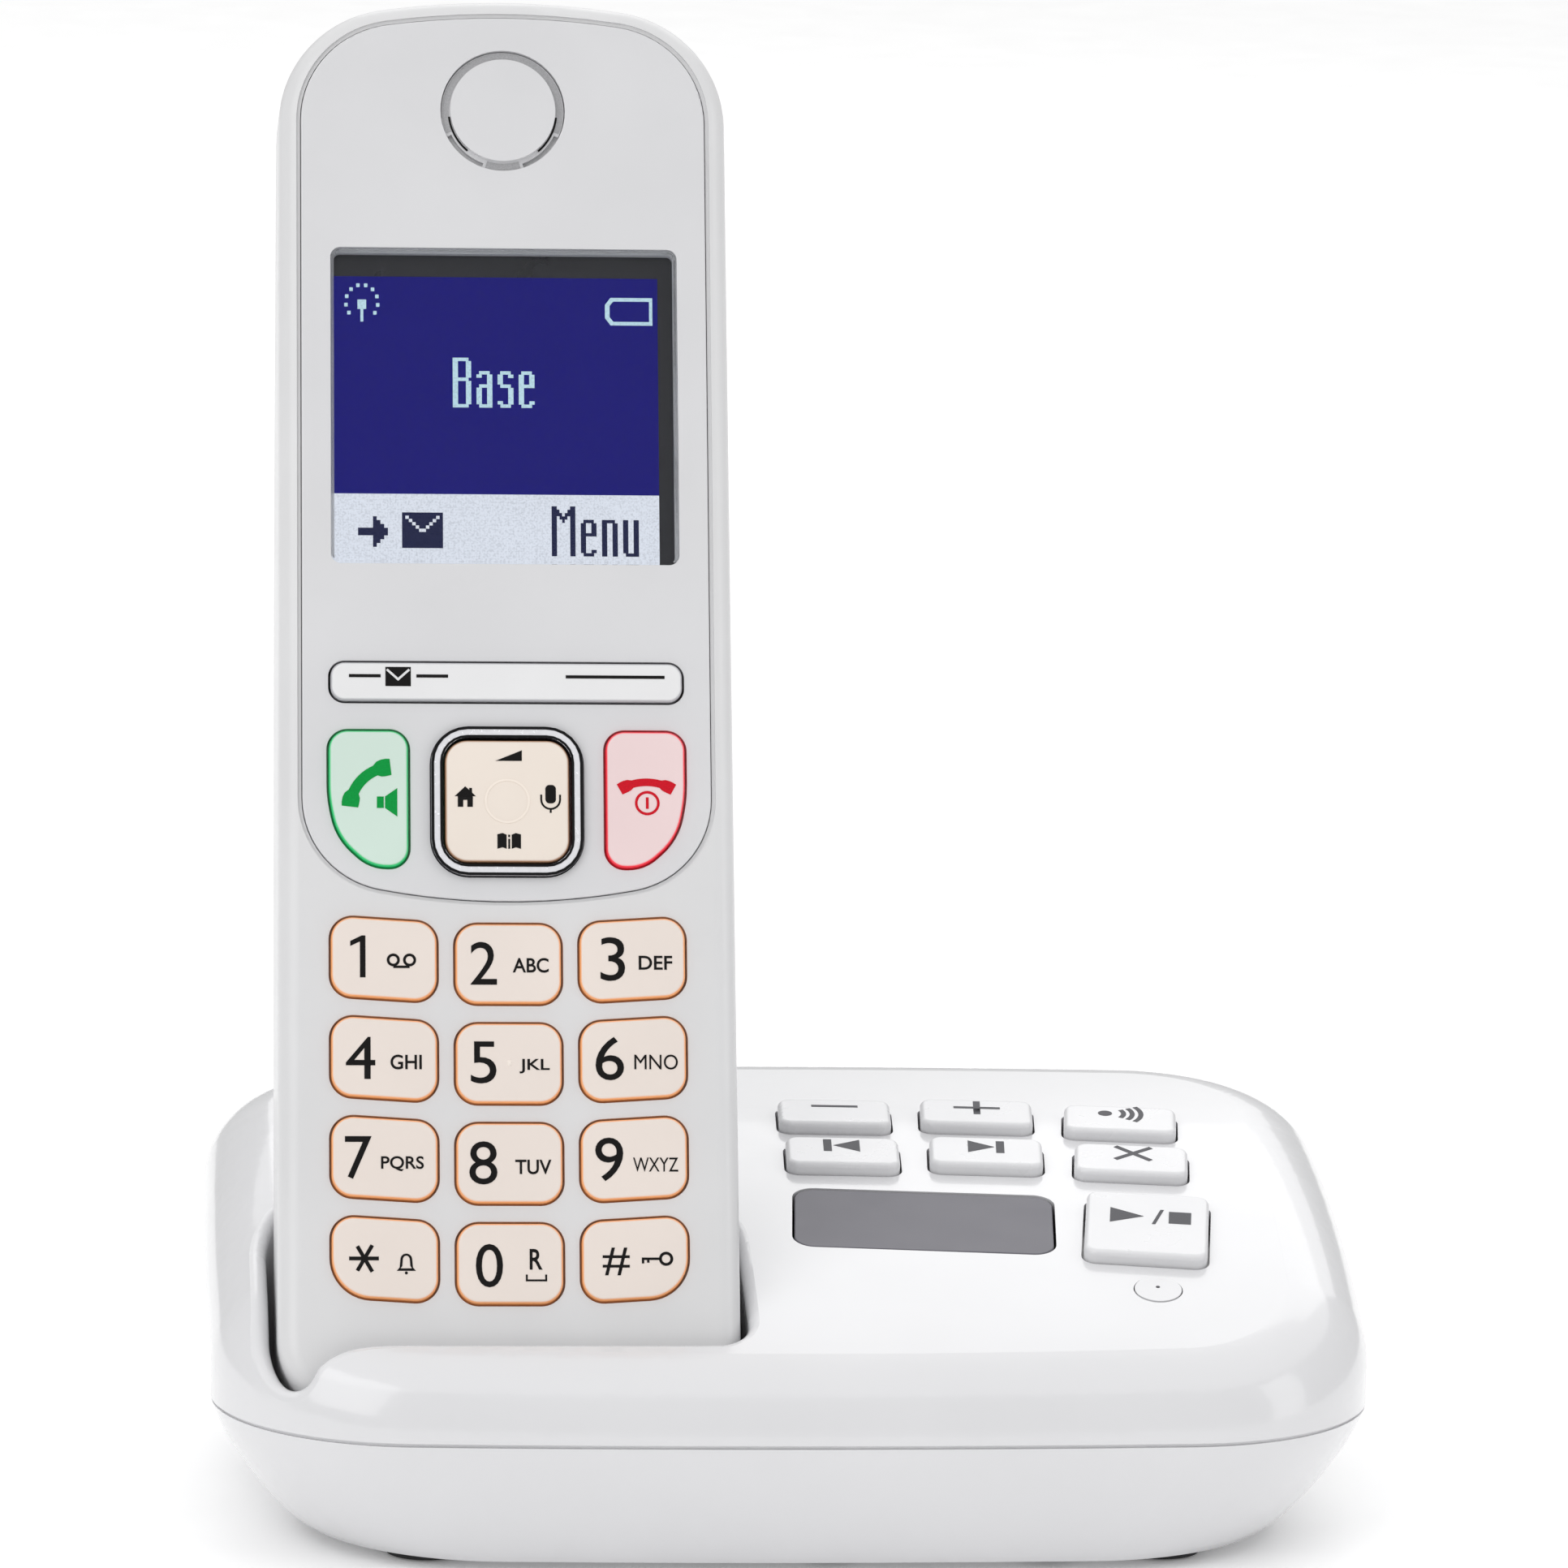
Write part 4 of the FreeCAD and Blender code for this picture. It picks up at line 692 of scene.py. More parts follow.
HOUSE = [(-1.12, 0.05), (-0.8, 0.05), (-0.8, -1.1), (-0.22, -1.1), (-0.22, -0.35), (0.22, -0.35),
         (0.22, -1.1), (0.8, -1.1), (0.8, 0.05), (1.12, 0.05), (0.72, 0.45), (0.72, 0.95),
         (0.42, 0.95), (0.42, 0.73), (0.0, 1.12)]
PAGE = [(0.27, -0.78), (0.7, -0.62), (1.25, -0.78), (1.25, 0.78), (0.7, 0.92), (0.27, 0.74)]
CRADLE = [(-1.0, 0.35), (-1.0, -0.2), *arc_loop((0, -0.2), 1.0, 180, 360, 12)[1:], (1.0, 0.35)]
SHANK = [(0.25, 0.13), (-1.7, 0.13), (-1.7, -0.5), (-1.45, -0.5), (-1.45, -0.13), (-1.15, -0.13),
         (-1.15, -0.42), (-0.9, -0.42), (-0.9, -0.13), (0.25, -0.13)]
HALF_TRAY = [(1.12, -0.36), (1.12, 0.36), (0.92, 0.36), (0.92, -0.16)]
HALF_PLUS = [(0.38, -2.0), (0.38, -0.28), (2.55, -0.28), (2.55, 0.28), (0.38, 0.28), (0.38, 2.0)]

ICONS: dict[Icon, list[Shape]] = {
    Icon.ENVELOPE: [[box_loop(-1.35, -1.04, 1.35, 1.04),
                     stroke([(-1.2, 0.78), (0.0, -0.3), (1.2, 0.78)], 0.26)]],
    Icon.WEDGE: [[[(-1.4, -0.55), (1.4, -0.55), (1.4, 0.6), (0.2, 0.1)]]],
    Icon.FIGURE_ONE: [[[(0.22, -2.25), (0.8, -2.25), (0.8, 2.25), (0.4, 2.25), (-0.8, 1.65),
                        (-0.8, 1.12), (0.22, 1.6)]]],
    Icon.HOUSE: [[HOUSE]],
    Icon.MICROPHONE: [[round_box(1.12, 2.0, 0.45, (0, 0.4))], [stroke(CRADLE, 0.2)],
                      [box_loop(-0.1, -1.62, 0.1, -1.3)]],
    Icon.BOOK: [[PAGE], [mirrored(PAGE)], [box_loop(-0.1, -0.78, 0.1, 0.3)],
                [box_loop(-0.1, 0.48, 0.1, 0.74)]],
    Icon.CALL: [receiver((2.65, -2.3), 4.65, (176, 94), (1.75, 1.85, 1.85, 1.7), 1.15)],
    Icon.SPEAKER: [[box_loop(-1.08, -0.62, -0.35, 0.62)],
                   [[(-0.22, -0.62), (1.08, -1.54), (1.08, 1.54), (-0.22, 0.62)]]],
    Icon.HANG_UP: [receiver((0.0, -5.2), 5.55, (121, 59), (1.25, 1.3, 1.3, 1.2), 0.82)],
    Icon.POWER: [ring_shape((0, 0), 1.18, 0.28), [box_loop(-0.15, -0.62, 0.15, 0.62)]],
    Icon.VOICEMAIL: [ring_shape((-0.86, 0.1), 0.55, 0.28), ring_shape((0.86, 0.1), 0.55, 0.28),
                     [box_loop(-0.86, -0.77, 0.86, -0.51)]],
    Icon.BELL: bell(),
    Icon.SPACE: [[HALF_TRAY + mirrored(HALF_TRAY)]],
    Icon.LOCK_KEY: [ring_shape((0.86, 0), 0.6, 0.3), [SHANK]],
    Icon.ASTERISK: [star_shape((0, 60, 120, 180, 240, 300), (1.5, 1.62) * 3, 0.4)],
    Icon.MINUS: [[box_loop(-2.55, -0.28, 2.55, 0.28)]],
    Icon.PLUS: [[HALF_PLUS + mirrored(HALF_PLUS)]],
    Icon.PAGING: [[arc_loop((-1.65, 0), 0.78, steps=20)],
                  *([stroke(arc_loop((-1.7, 0), radius, -34, 34, 10), 0.55)]
                    for radius in (2.1, 3.05, 4.0))],
    Icon.PREVIOUS: skip(-1),
    Icon.NEXT: skip(1),
    Icon.DELETE: [star_shape((42, 138, 222, 318), (2.6,) * 4, 0.6)],
    Icon.PLAY_STOP: [[[(-4.2, -1.7), (-0.6, 0.0), (-4.2, 1.7)]],
                     [[(0.3, -1.7), (0.68, -1.7), (1.55, 1.7), (1.17, 1.7)]],
                     [box_loop(2.1, -1.35, 4.5, 1.35)]],
}


GLYPHS: dict[str, tuple[str, ...]] = {
    "B": ("######.", *("##...##",) * 5, "######.", *("##...##",) * 7, "######."),
    "a": (*("......",) * 4, ".####.", "##..##", "....##", "....##", ".#####", *("##..##",) * 5,
          ".#####"),
    "s": (*("......",) * 4, ".####.", "##..##", *("##....",) * 2, ".####.", *("....##",) * 4,
          "##..##", ".####."),
    "e": (*("......",) * 4, ".####.", *("##..##",) * 3, "######", *("##....",) * 4, "##..##",
          ".####."),
    "M": ("##.....##", "###...###", "####.####", "##.###.##", "##..#..##", *("##.....##",) * 10),
    "n": (*("......",) * 4, "#####.", *("##..##",) * 10),
    "u": (*("......",) * 4, *("##..##",) * 10, ".#####"),
    "arrow": ("....#...", "....##..", "....###.", *("########",) * 2, "....###.", "....##..",
              "....#..."),
    "letter": ("############", "#.########.#", "##.######.##", "###.####.###", "####.##.####",
               "#####..#####", *("############",) * 5),
    "mast": ("###", "###", "###", ".#.", ".#.", ".#.", ".#."),
}


# ---------------------------------------------------------------- making pieces

def select_only(*objects: bpy.types.Object) -> None:
    """Leaves just these objects selected, the first of them active."""
    bpy.ops.object.select_all(action="DESELECT")
    for piece in objects:
        piece.select_set(True)
    bpy.context.view_layer.objects.active = objects[0]


def raise_selection(height: float) -> None:
    """Pulls the selected faces up out of the mesh that is being edited."""
    bpy.ops.mesh.extrude_region_move(TRANSFORM_OT_translate={"value": (0.0, 0.0, height)})


def settle(piece: bpy.types.Object, name: str, seat: Seat, body: str,
           material: bpy.types.Material, smooth: float = 30.0) -> bpy.types.Object:
    """Puts a piece drawn in millimetres where it belongs and gives it its finish and its body.

    Args:
        piece: the object, with its shape finished.
        name: the piece's name.
        seat: the plane that it was drawn on.
        body: the CAD body that it rides on.
        material: its material.
        smooth: the angle up to which its edges are shaded smooth, in degrees.

    Returns:
        The piece.
    """
    select_only(piece)
    bpy.ops.object.transform_apply(location=True, rotation=True, scale=True)
    bpy.ops.object.mode_set(mode="EDIT")
    bpy.ops.mesh.select_all(action="SELECT")
    bpy.ops.mesh.remove_doubles(threshold=0.0008)
    bpy.ops.mesh.normals_make_consistent(inside=False)
    bpy.ops.object.mode_set(mode="OBJECT")
    bpy.ops.object.shade_smooth_by_angle(angle=math.radians(smooth))
    piece.data.transform(seat.matrix())
    piece.name = name
    piece.data.materials.clear()
    piece.data.materials.append(material)
    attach(piece, body)
    log.info("%s rides on %s, %d faces", name, body, len(piece.data.polygons))
    return piece


class Artwork:
    """Flat marks on one plane, which become one thin piece."""

    def __init__(self, thickness: float = MARK_THICKNESS) -> None:
        """Starts with an empty plane."""
        self.thickness = thickness
        self.parts: list[bpy.types.Object] = []

    def draw(self, shapes: Sequence[Shape], x: float = 0.0, y: float = 0.0) -> "Artwork":
        """Adds filled outlines, each with its holes, moved by x and y."""
        for shape in shifted(shapes, x, y):
            curve = bpy.data.curves.new("outline", "CURVE")
            curve.dimensions, curve.fill_mode, curve.extrude = "2D", "BOTH", self.thickness / 2
            for loop in shape:
                spline = curve.splines.new("POLY")
                spline.points.add(len(loop) - 1)
                for point, place in zip(spline.points, loop):
                    point.co = (*place, 0.0, 1.0)
                spline.use_cyclic_u = True
            part = bpy.data.objects.new("outline", curve)
            bpy.context.collection.objects.link(part)
            select_only(part)
            bpy.ops.object.convert(target="MESH")
            self.parts.append(bpy.context.view_layer.objects.active)
        return self

    def write(self, text: str, at: Point, size: Point, weight: float = 0.0) -> "Artwork":
        """Adds lettering.

        Args:
            text: the characters.
            at: where its middle is.
            size: its width and height.
            weight: how much its strokes are fattened, as a share of the type's own size.

        Returns:
            This artwork.
        """
        bpy.ops.object.select_all(action="DESELECT")
        bpy.ops.object.text_add()
        part = bpy.context.view_layer.objects.active
        part.data.body, part.data.size, part.data.resolution_u = text, 1.0, 5
        part.data.offset = weight
        select_only(part)
        bpy.ops.object.convert(target="MESH")
        part = bpy.context.view_layer.objects.active
        low = Vector([min(v.co[i] for v in part.data.vertices) for i in range(2)])
        high = Vector([max(v.co[i] for v in part.data.vertices) for i in range(2)])
        span = high - low
        stretch = Matrix.Diagonal((size[0] / span.x, size[1] / span.y, 1.0, 1.0))
        centred = Matrix.Translation((*(-(low + high) / 2), 0.0))
        part.data.transform(Matrix.Translation((*at, -self.thickness / 2)) @ stretch @ centred)
        bpy.ops.object.mode_set(mode="EDIT")
        bpy.ops.mesh.select_all(action="SELECT")
        raise_selection(self.thickness)
        bpy.ops.object.mode_set(mode="OBJECT")
        self.parts.append(part)
        return self

    def settle(self, name: str, seat: Seat, body: str,
               material: bpy.types.Material) -> bpy.types.Object:
        """Joins the marks and lays them on their plane."""
        return settle(joined(self.parts), name, seat.moved(z=self.thickness / 2 + MARK_LIFT),
                      body, material, 20.0)


def plate(left: float, low: float, right: float, high: float, thickness: float,
          edge: float) -> bpy.types.Object:
    """Models a thin plate with eased edges, standing on its plane.

    Args:
        left: its left edge.
        low: its lower edge.
        right: its right edge.
        high: its upper edge.
        thickness: how thick it is.
        edge: how much its upper edges are eased.

    Returns:
        The plate.
    """
    bpy.ops.object.select_all(action="DESELECT")
    bpy.ops.mesh.primitive_plane_add(size=1.0)
    made = bpy.context.view_layer.objects.active
    made.scale = (right - left, high - low, 1.0)
    made.location = ((left + right) / 2, (low + high) / 2, 0.0)
    bpy.ops.object.transform_apply(location=True, rotation=True, scale=True)
    bpy.ops.object.mode_set(mode="EDIT")
    bpy.ops.mesh.select_all(action="SELECT")
    raise_selection(thickness)
    bpy.ops.mesh.bevel(offset=edge, segments=2, affect="EDGES")
    bpy.ops.object.mode_set(mode="OBJECT")
    return made


def peg(radius: float, length: float, tip: float, sides: int = 20) -> bpy.types.Object:
    """Models a round peg along Z with an eased tip.

    Args:
        radius: its radius.
        length: its length.
        tip: how far its tip is rounded.
        sides: how many sides it has.

    Returns:
        The peg.
    """
    bpy.ops.object.select_all(action="DESELECT")
    bpy.ops.mesh.primitive_circle_add(vertices=sides, radius=radius, fill_type="NGON")
    made = bpy.context.view_layer.objects.active
    bpy.ops.object.mode_set(mode="EDIT")
    bpy.ops.mesh.select_all(action="SELECT")
    raise_selection(length - tip)
    for _ in range(3):
        raise_selection(tip / 3)
        bpy.ops.transform.resize(value=(0.78, 0.78, 1.0))
    bpy.ops.object.mode_set(mode="OBJECT")
    return made


def joined(parts: Sequence[bpy.types.Object]) -> bpy.types.Object:
    """Joins meshes into one object."""
    select_only(*parts)
    if len(parts) > 1:
        bpy.ops.object.join()
    return bpy.context.view_layer.objects.active


def dress(finish: Moulded | Plated | Clear | Banded | Circuit, *nodes: str) -> None:
    """Gives CAD nodes a finish."""
    material = finish.make()
    for name in nodes:
        for slot in frame["nodes"][name].material_slots:
            slot.material = material
        log.info("%s is finished in %s", name, material.name)


# ---------------------------------------------------------------- the handset

@dataclass(frozen=True)
class Legend:
    """What is printed on one number key, in millimetres from the key's middle.

    Args:
        mark: the digit or sign at the left.
        mark_at: its middle.
        mark_size: its width and height.
        letters: the small letters at the right.
        letters_at: their middle.
        letters_size: their width and height.
        icons: the icons, each with its middle.
    """

    mark: str = ""
    mark_at: Point = (0.0, 0.0)
    mark_size: Point = (0.0, 0.0)
    letters: str = ""
    letters_at: Point = (0.0, 0.0)
    letters_size: Point = (0.0, 0.0)
    icons: tuple[tuple[Icon, Point], ...] = ()


LEGENDS: dict[str, Legend] = {
    "key_1": Legend(icons=((Icon.FIGURE_ONE, (-2.75, 0.2)), (Icon.VOICEMAIL, (1.85, -0.27)))),
    "key_2": Legend("2", (-2.62, 0.0), (2.8, 4.6), "ABC", (2.36, -0.2), (3.8, 1.58)),
    "key_3": Legend("3", (-2.1, 0.0), (2.6, 4.7), "DEF", (2.43, -0.38), (3.55, 1.5)),
    "key_4": Legend("4", (-2.5, 0.0), (3.1, 4.5), "GHI", (2.3, -0.43), (3.3, 1.58)),
    "key_5": Legend("5", (-2.68, 0.05), (2.7, 4.5), "JKL", (2.7, -0.34), (3.2, 1.55)),
    "key_6": Legend("6", (-2.5, 0.0), (3.0, 4.65), "MNO", (2.4, -0.36), (4.6, 1.6)),
    "key_7": Legend("7", (-2.77, 0.05), (2.8, 4.55), "PQRS", (1.87, -0.6), (4.5, 1.6)),
    "key_8": Legend("8", (-2.77, 0.0), (2.95, 4.6), "TUV", (2.5, -0.43), (3.8, 1.55)),
    "key_9": Legend("9", (-2.64, -0.1), (2.95, 4.65), "WXYZ", (2.25, -0.65), (4.75, 1.5)),
    "key_0": Legend("0", (-2.19, -0.25), (2.85, 4.6), "R", (2.72, 0.43), (1.35, 2.2),
                    ((Icon.SPACE, (2.75, -1.55)),)),
    "key_hash": Legend("#", (-2.0, -0.29), (2.85, 2.95), icons=((Icon.LOCK_KEY, (2.4, 0.0)),)),
    "key_star": Legend(icons=((Icon.ASTERISK, (-2.15, 0.0)), (Icon.BELL, (2.23, -0.45)))),
}

NAV_ICONS = ((Icon.WEDGE, (0.17, 4.9)), (Icon.HOUSE, (-4.46, 0.45)),
             (Icon.MICROPHONE, (4.6, 0.36)), (Icon.BOOK, (0.17, -4.39)))
CALL_ICONS = ((Icon.CALL, (0.0, 1.05)), (Icon.SPEAKER, (1.95, -0.45)))
END_ICONS = ((Icon.HANG_UP, (0.1, 1.5)), (Icon.POWER, (0.17, -0.41)))
SOFTKEY_LINES = ((-16.75, -13.38), (-9.59, -6.22), (6.3, 16.84))


@dataclass
class Keypad:
    """The handset's number keys, softkey bar, call and end keys and four-way key.

    Args:
        seat: the plane of the handset's face.
        letter_weight: how much the small letters are fattened.
        dot_radius: the radius of the finding dot on the middle key.
        dot_height: how far that dot stands up.
        line_middle: how far above the softkey bar's middle its lines are.
        line_width: how wide those lines are.
        well: the radius of the faint ring on the four-way key.
    """

    seat: Seat
    letter_weight: float = 0.014
    dot_radius: float = 0.32
    dot_height: float = 0.14
    line_middle: float = 0.57
    line_width: float = 0.34
    well: float = 2.3

    def dress(self) -> None:
        """Gives the keys their plastics, with light guides round their edges and painted light and
        shade on their sides.
        """
        facing = tuple(self.seat.out)
        # each key's sides take a colour painted by the way they face: on the number, call and end
        # keys
        # on the four-way key darker tan sides, and on the softkey bar darker grey sides of painted
        # shade
        # their light guides' colour with a painted glow that lightens the gaps and the shell edges
        # beside them,
        for name, nodes, colour, rough, flank, glow in (
                ("key_cream", LEGENDS, (228, 217, 209), 0.42, (232, 158, 100), 0.1),
                ("nav_cream", ["nav_key"], (232, 221, 210), 0.4, (196, 150, 116), 0.0),
                ("call_green", ["call_key"], (203, 222, 211), 0.4, (30, 185, 105), 0.15),
                ("end_red", ["end_key"], (231, 208, 208), 0.4, (235, 40, 60), 0.15),
                ("softkey_white", ["softkey_bar"], (226, 226, 227), 0.4, (176, 176, 180), 0.0)):
            dress(Moulded(name, paint(*colour), rough, depth=0.0015, flank=paint(*flank),
                          facing=facing, glow=glow), *nodes)
        # the chrome ring's pale face is a painted bright reflection, its dark sides a painted dark
        # reflection
        dress(Plated("nav_chrome", paint(240, 240, 244), paint(60, 60, 66), 0.22, facing=facing,
                     metal=0.3), "nav_ring")

    def print_on(self, node: str, name: str, ink: bpy.types.Material,
                 icons: Sequence[tuple[Icon, Point]]) -> None:
        """Prints icons on a key.

        Args:
            node: the key.
            name: the name of the printed piece.
            ink: what it is printed with.
            icons: the icons, each with its middle.
        """
        art = Artwork()
        for icon, place in icons:
            art.draw(ICONS[icon], *place)
        art.settle(name, self.seat.top_of(node), node, ink)

    def print_numbers(self, ink: bpy.types.Material) -> None:
        """Prints the number keys."""
        for node, legend in LEGENDS.items():
            art = Artwork()
            if legend.mark:
                art.write(legend.mark, legend.mark_at, legend.mark_size)
            if legend.letters:
                sharp = set(legend.letters) & set("MW")  # fattening fills the corners of these
                art.write(legend.letters, legend.letters_at, legend.letters_size,
                          0.0 if sharp else self.letter_weight)
            for icon, place in legend.icons:
                art.draw(ICONS[icon], *place)
            art.settle(f"{node}_print", self.seat.top_of(node), node, ink)

    def print_softkeys(self, ink: bpy.types.Material) -> None:
        """Prints the lines and the envelope on the softkey bar."""
        art = Artwork().draw(ICONS[Icon.ENVELOPE], -11.53, 0.5)
        low, high = (self.line_middle + side * self.line_width / 2 for side in (-1, 1))
        for left, right in SOFTKEY_LINES:
            art.draw([[box_loop(left, low, right, high)]])
        art.settle("softkey_print", self.seat.top_of("softkey_bar"), "softkey_bar", ink)

    def raise_ring(self) -> None:
        """Raises the faint ring in the middle of the four-way key."""
        Artwork(0.05).draw([ring_shape((0, 0), self.well, 0.22)]).settle(
            "nav_middle_ring", self.seat.top_of("nav_key"), "nav_key",
            Moulded("nav_ring_cream", paint(240, 229, 218), 0.3).make())

    def paint_ring_reflections(self) -> None:
        """Paints dark lines along the edges of the bright ring, painted dark reflections on its
        chrome.
        """
        low, high = self.seat.span("nav_ring")
        width = high.x - low.x
        art = Artwork(0.04)
        # two dark lines of painted reflection, along the ring's outer and inner edges
        for outer, line, corner in ((width - 0.1, 0.3, 3.9), (width - 1.95, 0.25, 2.95)):
            inner = outer - 2 * line
            art.draw([[round_box(outer, outer, corner), round_box(inner, inner, corner - line)]])
        art.settle("nav_ring_dark_reflections", self.seat.top_of("nav_ring"), "handset",
                   InkAndPaintedLight("reflection_black", paint(12, 12, 14)).make())

    def raise_dot(self) -> None:
        """Raises the finding dot on the middle key."""
        dot = peg(self.dot_radius, self.dot_height, self.dot_height * 0.9, 24)
        settle(dot, "key_5_dot", self.seat.top_of("key_5").moved(0.05, 0.0, -0.02), "key_5",
               Moulded("dot_cream", paint(236, 226, 217), 0.35).make(), 60.0)

    def build(self) -> None:
        """Builds everything of the keypad."""
        ink = InkAndPaintedLight("key_ink", paint(14, 12, 12)).make()
        self.dress()
        self.print_numbers(ink)
        self.print_softkeys(ink)
        self.print_on("nav_key", "nav_print", ink, NAV_ICONS)
        self.raise_ring()
        self.paint_ring_reflections()
        self.print_on("call_key", "call_print", InkAndPaintedLight("call_ink", paint(0, 145, 60)).make(),
                      CALL_ICONS)
        self.print_on("end_key", "end_print", InkAndPaintedLight("end_ink", paint(200, 15, 35)).make(), END_ICONS)
        self.raise_dot()


@dataclass
class Display:
    """The handset's screen: a backlit picture under a clear window.

    Args:
        seat: the plane of the handset's face.
        left: the picture's left edge, from the handset's middle.
        top: the picture's upper edge, from the handset's lower end.
        width: the picture's width.
        height: the picture's height.
        band: how much of its height the menu band takes.
        layer: how thick the lit layer is.
        dot: the width and height of a dot.
        mast: the middle of the ring of dots round the mast.
        mast_ring: that ring's radius across and up.
    """

    seat: Seat
    left: float = -18.95
    top: float = 125.1
    width: float = 35.55
    height: float = 31.4
    band: float = 7.45
    layer: float = 0.1
    dot: Point = (0.283, 0.366)
    mast: Point = (3.75, -2.9)
    mast_ring: Point = (1.72, 1.95)

    def picture_seat(self) -> Seat:
        """Finds the plane of the picture: zero is at its upper left corner."""
        low, high = self.seat.span("lcd_module")
        return self.seat.moved(self.left, self.top, high.z)

    def write(self, art: Artwork, word: str, left: float, low: float) -> None:
        """Writes a word in dots.

        Args:
            art: the marks that it joins.
            word: its letters.
            left: its left edge.
            low: its lower edge.
        """
        for letter in word:
            rows = GLYPHS[letter]
            art.draw(dot_shapes(rows, self.dot), left, low)
            left += (len(rows[0]) + 2) * self.dot[0]

    def light(self, name: str, seat: Seat, colour: Colour, glow: float, grid: float,
              shape: bpy.types.Object | Artwork) -> None:
        """Lays a lit or darkened piece on the screen.

        Args:
            name: the piece's name, and its material's.
            seat: the plane that it lies on.
            colour: its colour.
            glow: how strongly it shines.
            grid: how dark the lines between its dots are.
            shape: the piece.
        """
        finish = Backlit(f"{name}_light", colour, glow, tuple(self.seat.up), grid=grid).make()
        if isinstance(shape, Artwork):
            shape.settle(name, seat, "handset", finish)
        else:
            settle(shape, name, seat, "handset", finish)

    def bright_marks(self) -> Artwork:
        """Draws the mast with its ring of dots, the battery and the name."""
        art = Artwork(LAMP_THICKNESS)
        dot_x, dot_y = self.dot
        for angle in range(-36, 217, 28):
            x = self.mast[0] + self.mast_ring[0] * math.cos(math.radians(angle)) - dot_x / 2
            y = self.mast[1] + self.mast_ring[1] * math.sin(math.radians(angle)) - dot_y / 2
            art.draw([[box_loop(x, y, x + dot_x * 1.3, y + dot_y * 1.1)]])
        art.draw(dot_shapes(GLYPHS["mast"], (dot_x * 1.1, dot_y * 0.95)), 3.32, -5.0)
        shell = [(29.9, -2.95), (30.5, -2.15), (35.0, -2.15), (35.0, -5.2), (30.5, -5.2),
                 (29.9, -4.4)]
        inside = [(30.4, -3.05), (30.8, -2.55), (34.65, -2.55), (34.65, -4.8), (30.8, -4.8),
                  (30.4, -4.3)]
        art.draw([[shell, inside]])
        self.write(art, "Base", 13.5, -14.4)
        return art

    def dark_marks(self) -> Artwork:
        """Draws the arrow, the letter and the menu's name."""
        art = Artwork(LAMP_THICKNESS)
        art.draw(dot_shapes(GLYPHS["arrow"], (0.4, 0.42)), 3.3, -29.8)
        art.draw(dot_shapes(GLYPHS["letter"], (0.365, 0.355)), 8.0, -29.9)
        self.write(art, "Menu", 24.0, -30.7)
        return art

    def build(self) -> None:
        """Builds the screen's picture and dresses the parts round it."""
        dress(Clear("display_clear", paint(250, 252, 255)), "display_window")
        dress(Moulded("lcd_black", paint(26, 25, 30), 0.3, coat=0.3), "lcd_module")
        seat, split = self.picture_seat(), self.band - self.height
        marks = seat.moved(z=self.layer)
        field = plate(0.0, split, self.width, 0.0, self.layer, 0.03)
        self.light("lcd_field", seat, paint(30, 28, 122), 0.95, 0.2, field)
        band = plate(0.0, -self.height, self.width, split, self.layer, 0.03)
        self.light("lcd_band", seat, paint(236, 241, 250), 0.9, 0.05, band)
        self.light("lcd_lit_marks", marks, paint(196, 228, 238), 0.95, 0.0, self.bright_marks())
        self.light("lcd_dark_marks", marks, paint(38, 42, 74), 0.9, 0.0, self.dark_marks())


